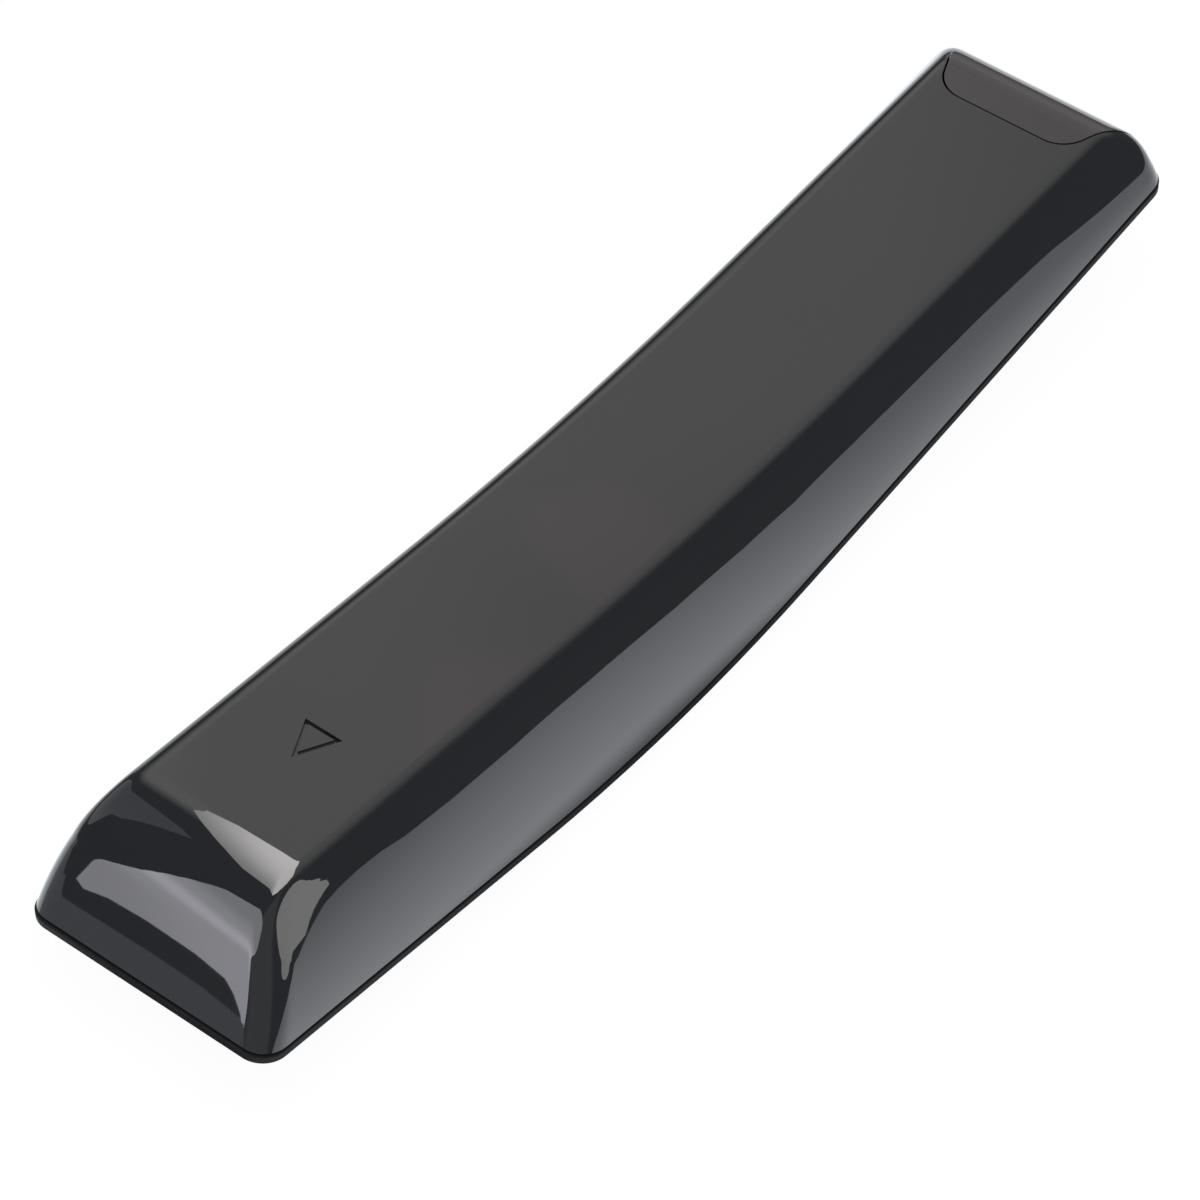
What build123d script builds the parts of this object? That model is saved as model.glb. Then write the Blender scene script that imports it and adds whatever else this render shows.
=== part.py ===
# Soundbar remote control, lying on its keys with the sliding battery cover up.
# Millimetres. +X points to the infra-red end, -X to the nose, +Z out of the back.
# The body bends at a knee: a thick straight grip holds two AA cells side by side,
# and a tapering straight half holds the board and the keys.
import os
from math import cos, radians, sin, sqrt, tan

from build123d import *

# Whole body
length = 179.0
width = 37.0
shell_height = 19.2
front_depth = 3.0

# Rim line, the widest line of the body, seen from the side
rim_knee = -15.3
rim_radius = 188.0
rim_grip_slope = 7.41
rim_key_slope = 8.43

# Back line, the crown of the sliding cover
back_knee = 7.7
back_radius = 435.0
back_grip_slope = 4.22
back_key_slope = 3.45

# Shape of the cover's walls and ends
side_lean = 5.7
side_bow_depth = 0.95
nose_lean = 8.2
nose_round = 9.8
ir_lean = 2.5
ir_round = 7.5
edge_round = 2.7

# Shape of the front case
front_lip = 0.4
front_corner_round = 3.43
front_bevel = 2.5
front_inner_bevel = 1.3

# Walls and clearances
cover_wall = 1.7
front_wall = 1.6
parting_gap = 0.3
frame_gap = 0.35
floor_gap = 0.3
seam_gap = 0.16
key_gap = 0.35
slide_gap = 0.3
press_gap = 0.05

# Infra-red window
window_from_end = 12.7
window_half_width = 9.9
window_corner = 4.6
window_flare = 0.4
window_tab_width = 4.0
window_tab_length = 2.2
window_tab_drop = 0.4
window_tab_thickness = 1.0
window_tab_spread = 7.0

# Arrow engraved in the cover
arrow_from_nose = 32.9
arrow_length = 5.2
arrow_half_width = 2.7
arrow_line = 0.4
arrow_depth = 0.3

# Cells, two AA side by side
cell_diameter = 14.5
cell_length = 50.5
cell_round = 0.8
nub_diameter = 5.5
nub_length = 1.3
cell_spacing = 0.3
cell_rise = 0.9

# Battery bay of the frame
bay_from_nose = 41.5
bay_wall = 1.4
trough_play = 0.3
bay_foot_height = 1.6
bay_side_height = 5.5
bay_end_height = 12.0
contact_thickness = 0.4
contact_play = 0.3
leaf_width = 5.0
leaf_high = 11.4
link_low = 6.0
spring_room = 3.0
spring_flat = 1.6
tail_in = 2.0

# Rails of the sliding cover
rail_depth = 0.9
rail_height = 1.0
rail_level = 2.2
rail_short = 4.0

# Board, keypad mat and cover plate of the frame, measured out from the rim line of the key half
key_origin = 40.0
board_from_end = 9.6
board_from_screw = 6.0
board_thickness = 1.0
board_inset = 2.5
board_corner = 1.0
mat_level = 0.7
mat_thickness = 0.8
dome_radius = 2.3
dome_height = 0.35
dome_metal_thickness = 0.12
dome_room = 0.1
plate_gap = 1.9
plate_thickness = 1.2
plate_from_board_end = 3.5
skirt_thickness = 1.2
rib_thickness = 1.2
ribs_from_start = [9.9, 38.2]
last_rib_from_end = 33.5
stringer_from_edge = 5.4
stringer_height = 2.5

# Push keys
key_proud = 0.6
key_travel = 0.6
key_edge = 0.5
flange_thickness = 0.7
flange_reach = 0.6
flange_play = 0.1
plunger_radius = 1.2
plunger_play = 0.65
collar_wall = 1.05
collar_rise = 0.3
small_key_radius = 3.5
small_key_from_edge = 5.7
first_row_from_end = 17.2
row_clearance = 0.9
layout_clearance = 0.5
mode_key_length = 6.0
mode_key_width = 8.4
mode_key_from_edge = 6.5
mode_key_round = 2.6

# Ring key, its pivot collar and its centre key
ring_outer = 11.0
ring_dish = 0.3
ring_tilt = 1.8
ring_side_gap = 0.5
ring_flange_drop = 0.6
ring_flange_thickness = 0.6
ring_plunger_place = 9.2
play_radius = 4.6
pivot_gap = 0.45
pivot_width = 1.4
pivot_thickness = 0.8
pivot_level = -1.3

# Rockers
rocker_length = 22.0
saddle_width = 1.4
rocker_round = 2.6
rocker_bar = 3.1
rocker_proud = 0.5
rocker_thickness = 3.0
rocker_tilt = 2.6
rocker_bridge = 1.2
rocker_plunger_place = 7.8
pin_radius = 0.7
pin_reach = 1.1
pin_level = -0.6
pin_play = 0.06
saddle_rise = 0.3
saddle_half_length = 2.2
saddle_gap = 0.15

# Board supports and screws
support_thickness = 1.0
screw_from_bay = 5.0
screw_from_edge = 2.4
screw_radius = 1.0
screw_length = 5.0
screw_head_radius = 1.9
screw_head_height = 1.2
screw_slot = 0.5
screw_cross = 2.3
screw_play = 0.06
screw_hole_play = 0.2
boss_wall = 1.4

# Electronics on the rear of the board
led_radius = 1.5
led_length = 5.4
led_flange = 0.35
led_flange_thickness = 1.0
led_spread = 5.5
led_lead = 0.5
led_leg_spacing = 2.54
led_back = 1.6
led_rise = 0.1
chip_length = 10.0
chip_width = 6.0
chip_height = 1.5
chip_rise = 0.1
chip_leg_count = 8
chip_from_start = 30.0
crystal_length = 5.0
crystal_width = 3.2
crystal_height = 1.2
crystal_from_start = 46.2
capacitor_radius = 2.0
capacitor_length = 7.0
capacitor_from_start = 17.9
capacitor_room = 0.5
small_part_size = (1.6, 0.8, 0.45)
small_parts_from_start = [(40.2, 4), (40.2, -4), (52.3, 8), (52.3, -8), (58.4, 3), (58.4, -3)]
small_parts_from_end = [(17.9, 7), (9.8, -5)]

# Sections of the body's loft, and how near an edge lies to a place to be picked
loft_stations = 13
loft_over = 3.0
edge_near = 1.0


def bent_line(x, knee, radius, slope_before, slope_after):
    """Height of a straight - round - straight line whose lowest point is at the knee."""
    before = radians(slope_before)
    after = radians(slope_after)
    round_start = knee - radius * sin(before)
    round_end = knee + radius * sin(after)
    if x < round_start:
        return radius * (1 - cos(before)) + (round_start - x) * tan(before)
    if x > round_end:
        return radius * (1 - cos(after)) + (x - round_end) * tan(after)
    return radius - sqrt(radius**2 - (x - knee) ** 2)


def rim_height(x):
    """Height of the rim line above the table."""
    return front_depth + bent_line(x, rim_knee, rim_radius, rim_grip_slope, rim_key_slope)


def back_height(x):
    """Height of the crown of the back above the table."""
    rise = bent_line(x, back_knee, back_radius, back_grip_slope, back_key_slope)
    return front_depth + shell_height + rise


def tilted_plane(x, slope):
    """A plane on the straight rim line through x, its X along that line, its Z out of the back."""
    angle = radians(slope)
    direction = (cos(angle), 0, sin(angle))
    normal = (-sin(angle), 0, cos(angle))
    return Plane(origin=(x, 0, rim_height(x)), x_dir=direction, z_dir=normal)


grip_plane = tilted_plane(-length / 2 + bay_from_nose, -rim_grip_slope)
key_plane = tilted_plane(key_origin, rim_key_slope)


def along_keys(x):
    """Distance along the key plane of the point of the rim line above x."""
    return (x - key_origin) / cos(radians(rim_key_slope))


def block(x_span, y_span, z_span):
    """A box between two values on each axis."""
    spans = (x_span, y_span, z_span)
    size = [span[1] - span[0] for span in spans]
    middle = [(span[1] + span[0]) / 2 for span in spans]
    return Pos(*middle) * Box(*size)


def rod(x, y, z_span, radius):
    """An upright cylinder between two heights."""
    height = z_span[1] - z_span[0]
    return Pos(x, y, (z_span[0] + z_span[1]) / 2) * Cylinder(radius, height)


# Levels above the rim line of the key half
front_face = -front_depth
front_inner = front_wall - front_depth
cap_face = front_face - key_proud
flange_outer = front_inner + flange_play
flange_inner = flange_outer + flange_thickness
mat_top = mat_level + mat_thickness
board_top = mat_top + board_thickness
plate_low = board_top + plate_gap
plate_top = plate_low + plate_thickness
dome_top = mat_top - dome_height
key_tip = dome_top - press_gap - key_travel
ring_tip = dome_top - press_gap - ring_plunger_place * sin(radians(ring_tilt))
rocker_tip = dome_top - press_gap - rocker_plunger_place * sin(radians(rocker_tilt))

# Places along the key half, counted down from the infra-red end
small_flange = small_key_radius + flange_reach
board_half = width / 2 - front_wall - board_inset
small_key_offset = board_half - small_key_from_edge
mode_key_offset = board_half - mode_key_from_edge
screw_offset = board_half - screw_from_edge
stringer_offset = board_half - stringer_from_edge
board_end = along_keys(length / 2) - board_from_end
first_row = along_keys(length / 2) - first_row_from_end
second_row = first_row - 2 * small_flange - row_clearance
ring_flange = ring_outer + flange_reach
ring_reach = ring_flange + small_flange + layout_clearance
ring_place = second_row - sqrt(ring_reach**2 - small_key_offset**2)
mode_place = ring_place - ring_flange - layout_clearance - flange_reach - mode_key_length / 2
rocker_place = mode_place - mode_key_length / 2 - flange_reach - rocker_bridge - rocker_length / 2
rocker_inner = rocker_bar / 2 + key_gap
rocker_outer = board_half - saddle_width - saddle_gap - key_gap
rocker_width = rocker_outer - rocker_inner
rocker_offset = (rocker_inner + rocker_outer) / 2

# Ring, pivot collar and centre key, from the inside out
ring_inner = play_radius + ring_side_gap
play_flange = play_radius + flange_reach
pivot_inner = play_flange + pivot_gap
pivot_outer = pivot_inner + pivot_width
ring_recess = pivot_outer + pivot_gap
pivot_low = pivot_level - pivot_thickness / 2
pivot_high = pivot_level + pivot_thickness / 2
ring_under = pivot_low - pivot_gap
ring_flange_outer = front_inner + ring_flange_drop
ring_flange_inner = ring_flange_outer + ring_flange_thickness

# Battery bay, along the grip
cell_radius = cell_diameter / 2
cell_axis = cell_rise + cell_radius
cell_offset = (cell_diameter + cell_spacing) / 2
trough_radius = cell_radius + trough_play
bay_half = (cell_length + spring_room) / 2 + contact_play + contact_thickness
bay_outer = bay_half + bay_wall
rail_reach = bay_outer - rail_short

# Screws and board, behind the bay
bay_end_x = grip_plane.from_local_coords((bay_outer, 0, bay_side_height)).X
screw_place = along_keys(bay_end_x + screw_from_bay)
board_start = screw_place + board_from_screw


def switch_places():
    """Where each plunger meets a dome switch, in the key plane."""
    places = [(ring_place, 0), (mode_place, mode_key_offset), (mode_place, -mode_key_offset)]
    for side in (-1, 1):
        places.append((first_row, side * small_key_offset))
        places.append((second_row, side * small_key_offset))
        places.append((ring_place + side * ring_plunger_place, 0))
        places.append((ring_place, side * ring_plunger_place))
        for end in (-1, 1):
            places.append((rocker_place + end * rocker_plunger_place, side * rocker_offset))
    return places


def rim_offset(rise):
    """Side view of the rim line, shifted outwards by rise: straight, arc, straight."""
    before = radians(rim_grip_slope)
    after = radians(rim_key_slope)
    radius = rim_radius - rise
    centre = front_depth + rim_radius
    left = (rim_knee - radius * sin(before), 0, centre - radius * cos(before))
    right = (rim_knee + radius * sin(after), 0, centre - radius * cos(after))
    low = (rim_knee, 0, centre - radius)
    far_left = (left[0] - length, 0, left[2] + length * tan(before))
    far_right = (right[0] + length, 0, right[2] + length * tan(after))
    return [Line(far_left, left), ThreePointArc(left, low, right), Line(right, far_right)]


def bent_slab(low, high):
    """Everything between two shifts of the rim line, wider than the body."""
    lower = rim_offset(low)
    upper = rim_offset(high)
    ends = [Line(lower[0] @ 0, upper[0] @ 0), Line(lower[-1] @ 1, upper[-1] @ 1)]
    outline = Face(Wire(lower + upper + ends))
    return extrude(outline, amount=width, dir=(0, 1, 0), both=True)


def cross_section(x, inset, skirt):
    """The body's outline across its length at x: leaning, slightly bulging walls and a flat back."""
    low = rim_height(x)
    high = back_height(x) - inset
    low_half = width / 2 - inset
    reach = (high - low) / (high + inset - low)
    high_half = width / 2 - side_lean * reach - inset
    mid_half = (low_half + high_half) / 2 + side_bow_depth
    mid = (low + high) / 2
    walls = [
        ThreePointArc((x, low_half, low), (x, mid_half, mid), (x, high_half, high)),
        Line((x, high_half, high), (x, -high_half, high)),
        ThreePointArc((x, -high_half, high), (x, -mid_half, mid), (x, -low_half, low)),
    ]
    if skirt == 0:
        return Face(Wire(walls + [Line((x, -low_half, low), (x, low_half, low))]))
    edges = walls + [
        Line((x, -low_half, low), (x, -low_half, low - skirt)),
        Line((x, -low_half, low - skirt), (x, low_half, low - skirt)),
        Line((x, low_half, low - skirt), (x, low_half, low)),
    ]
    return Face(Wire(edges))


def end_prism(inset, skirt):
    """The side view of the body, cut to the leaning nose and infra-red ends."""
    nose = -length / 2
    tail = length / 2
    nose_rise = back_height(nose + nose_lean) - rim_height(nose)
    tail_rise = back_height(tail - ir_lean) - rim_height(tail)
    over = 2 * front_depth
    nose_shift = inset * sqrt(1 + (nose_lean / nose_rise) ** 2)
    tail_shift = inset * sqrt(1 + (ir_lean / tail_rise) ** 2)
    nose_low = rim_height(nose)
    tail_low = rim_height(tail)
    # The rim line sags below the chord between the ends, so the prism reaches well below it.
    floor = -skirt
    points = [
        (nose + nose_shift, 0, floor),
        (nose + nose_shift, 0, nose_low),
        (nose + nose_shift + nose_lean * (1 + over / nose_rise), 0, nose_low + nose_rise + over),
        (tail - tail_shift - ir_lean * (1 + over / tail_rise), 0, tail_low + tail_rise + over),
        (tail - tail_shift, 0, tail_low),
        (tail - tail_shift, 0, floor),
    ]
    outline = Face(Wire(Polyline(*points, close=True)))
    return extrude(outline, amount=width, dir=(0, 1, 0), both=True)


def loft_places():
    """Stations of the loft, from beyond the nose to beyond the infra-red end."""
    reach = length / 2 + loft_over
    return [-reach + 2 * reach * i / (loft_stations - 1) for i in range(loft_stations)]


def body_block(inset, skirt, nose_radius, tail_radius, side_radius):
    """The solid inside a skin of the given inset, rounded along its ends and sides."""
    solid = loft([cross_section(x, inset, skirt) for x in loft_places()])
    solid = (solid & end_prism(inset, skirt)).solids()[0]

    def crosses(edge):
        box = edge.bounding_box()
        middle = edge @ 0.5
        high = middle.Z > (rim_height(middle.X) + back_height(middle.X)) / 2
        return box.size.Y > width / 2 and box.size.X < 2 * edge_near and high

    nose_edge = [e for e in solid.edges() if crosses(e) and e.center().X < 0]
    solid = fillet(nose_edge, nose_radius).solids()[0]
    tail_edge = [e for e in solid.edges() if crosses(e) and e.center().X > 0]
    solid = fillet(tail_edge, tail_radius).solids()[0]

    def on_side(edge):
        middle = edge @ 0.5
        outer = abs(middle.Y) > width / 2 - side_lean - inset - edge_near
        return outer and middle.Z > rim_height(middle.X) + edge_near

    if side_radius == 0:
        return solid
    chain = [e for e in solid.edges() if on_side(e)]
    return fillet(chain, side_radius).solids()[0]


def window_outline(gap):
    """The plan of the infra-red window, a tongue that flares into the end wall."""
    start = length / 2 - window_from_end + gap
    half = window_half_width - gap
    far = length
    flare = (far - start) * window_flare
    points = [(far, -half - flare), (start, -half), (start, half), (far, half + flare)]
    line = FilletPolyline(*points, radius=window_corner)
    plan = Face(Wire(line.edges() + [Line(line @ 1, line @ 0)]))
    return extrude(plan, amount=4 * shell_height, dir=(0, 0, 1))


arrow_base = arrow_from_nose - length / 2


def arrow_groove():
    """A triangle of straight grooves that points along the way the cover slides."""
    tip = arrow_base - arrow_length
    corners = [(arrow_base, arrow_half_width), (arrow_base, -arrow_half_width), (tip, 0)]
    outer = make_face(Polyline(*corners, close=True))
    ring = offset(outer, arrow_line / 2, kind=Kind.INTERSECTION)
    ring -= offset(outer, -arrow_line / 2, kind=Kind.INTERSECTION)
    deep = extrude(Pos(0, 0, front_depth + shell_height / 2) * ring, amount=2 * shell_height)
    return deep - groove_floor


def lofted_slab(inset):
    """The space inside the cover less a clearance, with plain edges."""
    solid = loft([cross_section(x, inset, front_depth) for x in loft_places()])
    return (solid & end_prism(inset, front_depth)).solids()[0]


groove_reach = arrow_half_width + arrow_length
groove_places = [arrow_base - groove_reach, arrow_base + groove_reach]
groove_floor = loft([cross_section(x, arrow_depth, 0) for x in groove_places])


cover_outside = body_block(0, 0, nose_round, ir_round, edge_round)
cover_inside = body_block(cover_wall, front_depth, nose_round - cover_wall, ir_round - cover_wall, 0)
cover_skin = cover_outside - bent_slab(-front_depth, front_lip + parting_gap) - cover_inside
frame_space = lofted_slab(cover_wall + frame_gap)
above_floor = bent_slab(front_wall / 2 - front_depth, 2 * shell_height)


def make_rear_cover():
    """Glossy sliding cover: a bent, drafted shell with a notch, an arrow and two inner rails."""
    shell = cover_skin - window_outline(0) - arrow_groove()
    rails = grip_plane * block(
        (-rail_reach, rail_reach - rail_short),
        (-width, width),
        (rail_level, rail_level + rail_height),
    )
    rails &= lofted_slab(cover_wall / 2)
    rails -= lofted_slab(cover_wall + rail_depth)
    return (shell + rails).solids()[0]


def make_ir_window():
    """Dark window: a tongue in the cover's notch that runs down the end as its wall."""
    window = (cover_skin & window_outline(seam_gap)).solids().sort_by(SortBy.VOLUME)[-1]
    end = length / 2 - front_wall - seam_gap
    low = rim_height(length / 2)
    for side in (-1, 1):
        y = side * window_tab_spread
        tab = block(
            (end - window_tab_thickness, end),
            (y - window_tab_width / 2, y + window_tab_width / 2),
            (low - window_tab_drop, low + window_tab_length),
        )
        window += tab
    return window.solids()[0]


def front_form(inset, bevel, top):
    """The front case's outside, or its cavity for an inset of the wall."""
    outline = RectangleRounded(length - 2 * inset, width - 2 * inset, front_corner_round - inset)
    tall = extrude(Pos(0, 0, -length) * outline, amount=2 * length)
    solid = (tall & bent_slab(inset - front_depth, top)).solids()[0]

    def on_key_side(edge):
        middle = edge @ 0.5
        return middle.Z < rim_height(middle.X) + inset - front_depth + edge_near / 2

    rim = [e for e in solid.edges() if on_key_side(e) and not crosswise_seam(e)]
    return chamfer(rim, bevel).solids()[0]


def crosswise_seam(edge):
    """True for the edges across the front where its flat and round stretches meet."""
    box = edge.bounding_box()
    return box.size.Y > width / 2 and abs(edge.center().X) < length / 2 - front_depth


def key_hole(outline):
    """The hole in the front for a key outline, one clearance larger all round."""
    hole = offset(outline, key_gap)
    return extrude(Pos(0, 0, 2 * front_face) * hole, amount=front_inner - 2 * front_face + front_wall)


small_key_outline = Circle(small_key_radius)
mode_key_outline = RectangleRounded(mode_key_length, mode_key_width, mode_key_round)
rocker_outline = RectangleRounded(rocker_length, rocker_width, rocker_round)
small_key_places = [(x, side * small_key_offset) for x in (first_row, second_row) for side in (-1, 1)]
mode_key_places = [(mode_place, side * mode_key_offset) for side in (-1, 1)]
rocker_places = [(rocker_place, side * rocker_offset) for side in (-1, 1)]
screw_places = [(screw_place, side * screw_offset) for side in (-1, 1)]


def make_front_case():
    """Shallow bent tray that carries the keys: holes, board supports, saddles and screw bosses."""
    case = front_form(0, front_bevel, front_lip) - front_form(front_wall, front_inner_bevel, shell_height)

    # A low wall round the board's edge carries the mat.
    low = front_inner - front_wall
    supports = block((board_start, board_end), (-board_half, board_half), (low, mat_level))
    supports -= block(
        (board_start + support_thickness, board_end - support_thickness),
        (support_thickness - board_half, board_half - support_thickness),
        (low, mat_level),
    )
    # Saddles between and beside the rockers hold their pins.
    top = pin_level + pin_radius + saddle_rise
    inner = rocker_bar / 2 - saddle_gap
    outer = board_half - saddle_width
    saddle_x = (rocker_place - saddle_half_length, rocker_place + saddle_half_length)
    for span in [(-inner, inner), (outer, board_half), (-board_half, -outer)]:
        supports += block(saddle_x, span, (low, top))
    boss_radius = screw_radius + boss_wall
    for x, y in screw_places:
        supports += rod(x, y, (low, plate_low), boss_radius)
    case += (key_plane * supports) & above_floor

    cuts = key_hole(Pos(ring_place, 0) * Circle(ring_outer))
    for x, y in small_key_places:
        cuts += key_hole(Pos(x, y) * small_key_outline)
    for x, y in mode_key_places:
        cuts += key_hole(Pos(x, y) * mode_key_outline)
    for x, y in rocker_places:
        cuts += key_hole(Pos(x, y) * rocker_outline)
    slot = pin_radius + pin_play
    cuts += Pos(rocker_place, 0, pin_level) * Rot(90, 0, 0) * Cylinder(slot, 2 * board_half)
    cuts += block((rocker_place - slot, rocker_place + slot), (-board_half, board_half), (pin_level, top))
    bore_floor = plate_top - screw_length - screw_hole_play
    for x, y in screw_places:
        cuts += rod(x, y, (bore_floor, plate_top), screw_radius + screw_play)
    case -= key_plane * cuts
    return case.solids().sort_by(SortBy.VOLUME)[-1]


def push_key(cap, flange):
    """Key with a rounded cap, a flange that stops it behind the front and a plunger."""
    body = extrude(Pos(0, 0, cap_face) * cap, amount=flange_outer - cap_face)
    body = fillet(body.edges().group_by(Axis.Z)[0], key_edge)
    body += extrude(Pos(0, 0, flange_outer) * flange, amount=flange_thickness)
    body += rod(0, 0, (flange_inner, key_tip), plunger_radius)
    return body.solids()[0]


def make_small_key(x, y):
    """Round key, such as power."""
    return key_plane * Pos(x, y) * push_key(small_key_outline, Circle(small_flange))


def make_mode_key(x, y):
    """Wide key with rounded corners."""
    flange = offset(mode_key_outline, flange_reach)
    return key_plane * Pos(x, y) * push_key(mode_key_outline, flange)


def make_play_key():
    """Centre key of the ring."""
    return key_plane * Pos(ring_place, 0) * push_key(Circle(play_radius), Circle(play_flange))


def spun(points):
    """A solid turned from a half section of (radius, height) points."""
    return revolve(Plane.XZ * make_face(Polyline(*points, close=True)), Axis.Z)


def make_nav_ring():
    """Four-way ring: a dished annulus with a flange, a recess for its pivot collar and four feet."""
    ring = spun([
        (ring_inner, cap_face + ring_dish),
        (ring_outer - key_edge, cap_face),
        (ring_outer, cap_face + key_edge),
        (ring_outer, ring_flange_outer),
        (ring_flange, ring_flange_outer),
        (ring_flange, ring_flange_inner),
        (ring_recess, ring_flange_inner),
        (ring_recess, ring_under),
        (ring_inner, ring_under),
    ])
    for side in (-1, 1):
        ring += rod(side * ring_plunger_place, 0, (ring_flange_inner, ring_tip), plunger_radius)
        ring += rod(0, side * ring_plunger_place, (ring_flange_inner, ring_tip), plunger_radius)
    return key_plane * Pos(ring_place, 0) * ring.solids()[0]


def make_ring_collar():
    """Thin collar under the ring that it tilts on."""
    collar = rod(0, 0, (pivot_low, pivot_high), pivot_outer) - rod(0, 0, (pivot_low, pivot_high), pivot_inner)
    return key_plane * Pos(ring_place, 0) * collar.solids()[0]


def make_rocker(x, y):
    """Long lever on two pins, with a foot near each end."""
    face = front_face - rocker_proud
    lever = extrude(Pos(0, 0, face) * rocker_outline, amount=rocker_thickness)
    lever = fillet(lever.edges().group_by(Axis.Z)[0], key_edge)
    pin_length = rocker_width + 2 * pin_reach
    lever += Pos(0, 0, pin_level) * Rot(90, 0, 0) * Cylinder(pin_radius, pin_length)
    web = block(
        (-pin_radius, pin_radius),
        (-rocker_width / 2, rocker_width / 2),
        (face + rocker_thickness / 2, pin_level),
    )
    lever += web
    for end in (-1, 1):
        lever += rod(end * rocker_plunger_place, 0, (face + rocker_thickness / 2, rocker_tip), plunger_radius)
    return key_plane * Pos(x, y) * lever.solids()[0]


def board_outline():
    """Plan of the board and of the mat on it."""
    shape = RectangleRounded(board_end - board_start, 2 * board_half, board_corner)
    return Pos((board_start + board_end) / 2, 0) * shape


def make_circuit_board():
    """Board with the dome switches on its front."""
    return key_plane * extrude(Pos(0, 0, mat_top) * board_outline(), amount=board_thickness)


def make_key_mat():
    """Rubber mat with a collar round each plunger and a pocket over each dome."""
    mat = extrude(Pos(0, 0, mat_level) * board_outline(), amount=mat_thickness)
    hole = plunger_radius + plunger_play
    for x, y in switch_places():
        mat += rod(x, y, (mat_level - collar_rise, mat_level), hole + collar_wall)
    for x, y in switch_places():
        mat -= rod(x, y, (mat_level - collar_rise, mat_top), hole)
        mat -= rod(x, y, (dome_top - dome_room, mat_top), dome_radius + dome_room)
    return key_plane * mat.solids()[0]


def make_dome_contacts():
    """Snap domes on the board, one for each plunger."""
    flat = dome_radius / 2
    dome = spun([
        (0, dome_top),
        (flat, dome_top),
        (dome_radius, mat_top),
        (dome_radius - 2 * dome_metal_thickness, mat_top),
        (flat, dome_top + dome_metal_thickness),
        (0, dome_top + dome_metal_thickness),
    ]).solids()[0]
    return Compound([key_plane * Pos(x, y) * dome for x, y in switch_places()])


def make_control_chip():
    """Flat-pack controller with legs on two sides."""
    x = board_start + chip_from_start
    low = board_top + chip_rise
    chip = block(
        (x - chip_length / 2, x + chip_length / 2),
        (-chip_width / 2, chip_width / 2),
        (low, board_top + chip_height),
    )
    pitch = chip_length / chip_leg_count
    for i in range(chip_leg_count):
        leg_x = x - chip_length / 2 + (i + 0.5) * pitch
        chip += block(
            (leg_x - pitch / 4, leg_x + pitch / 4),
            (-chip_width / 2 - pitch, chip_width / 2 + pitch),
            (board_top, board_top + 2 * chip_rise),
        )
    return key_plane * chip.solids()[0]


def make_crystal():
    """Metal can with round ends."""
    plan = SlotOverall(crystal_length, crystal_width)
    can = extrude(Pos(board_start + crystal_from_start, 0, board_top) * plan, amount=crystal_height)
    return key_plane * fillet(can.edges().group_by(Axis.Z)[-1], crystal_height / 4).solids()[0]


def make_capacitor():
    """Electrolytic capacitor lying along the board."""
    x = board_start + capacitor_from_start
    can = Cylinder(capacitor_radius, capacitor_length)
    can = fillet(can.edges(), capacitor_radius / 6)
    return key_plane * Pos(x, 0, board_top + capacitor_radius) * Rot(0, 90, 0) * can.solids()[0]


def make_small_parts():
    """Resistors and capacitors soldered flat on the board."""
    places = [(board_start + x, y) for x, y in small_parts_from_start]
    places += [(board_end - x, y) for x, y in small_parts_from_end]
    parts = []
    for x, y in places:
        part = Pos(x, y, board_top + small_part_size[2] / 2) * Box(*small_part_size)
        parts.append((key_plane * part).solids()[0])
    return Compound(parts)


def make_ir_leds():
    """Two infra-red diodes that look out of the window, with legs bent down to the board."""
    axis = board_top + led_radius + led_flange + led_rise
    back = board_end - led_back / 2
    diodes = []
    for side in (-1, 1):
        body = rod(0, 0, (0, led_length - led_radius), led_radius)
        body += Pos(0, 0, led_length - led_radius) * Sphere(led_radius)
        body += rod(0, 0, (0, led_flange_thickness), led_radius + led_flange)
        diode = Pos(back + led_back, side * led_spread, axis) * Rot(0, 90, 0) * body
        for leg in (-1, 1):
            y = side * led_spread + leg * led_leg_spacing / 2
            across = (y - led_lead / 2, y + led_lead / 2)
            level = (axis - led_lead / 2, axis + led_lead / 2)
            diode += block((back - led_lead, back + led_back), across, level)
            diode += block((back - led_lead, back), across, (board_top, axis))
        diodes.append((key_plane * diode).solids()[0])
    return Compound(diodes)


def make_cell(y, towards):
    """An AA cell along the grip whose nub points to towards (-1 nose, 1 knee)."""
    can = Cylinder(cell_radius, cell_length - nub_length)
    can = fillet(can.edges(), cell_round)
    nub = Pos(0, 0, cell_length / 2) * Cylinder(nub_diameter / 2, nub_length)
    cell = (can + nub).solids()[0]
    shift = towards * (spring_room - nub_length) / 2
    return grip_plane * Pos(shift, y, cell_axis) * Rot(0, towards * 90, 0) * cell


def grip_point(x, z):
    """Place in the side view of a point of the grip plane."""
    point = grip_plane.from_local_coords((x, 0, z))
    return Vector(point.X, point.Z)


def key_point(x, z):
    """Place in the side view of a point of the key plane."""
    point = key_plane.from_local_coords((x, 0, z))
    return Vector(point.X, point.Z)


def strip(points, y):
    """Bent metal strip through points of the side view, one leaf wide about y."""
    above = []
    below = []
    for i, point in enumerate(points):
        arrive = (point - points[i - 1]).normalized() if i > 0 else None
        leave = (points[i + 1] - point).normalized() if i < len(points) - 1 else arrive
        arrive = arrive or leave
        along = (arrive + leave).normalized()
        shift = Vector(-along.Y, along.X) * (contact_thickness / 2 / along.dot(leave))
        above.append(point + shift)
        below.append(point - shift)
    outline = [(p.X, p.Y) for p in above + below[::-1]]
    face = Plane.XZ * make_face(Polyline(*outline, close=True))
    return (Pos(0, y, 0) * extrude(face, amount=leaf_width / 2, both=True)).solids()[0]


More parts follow.
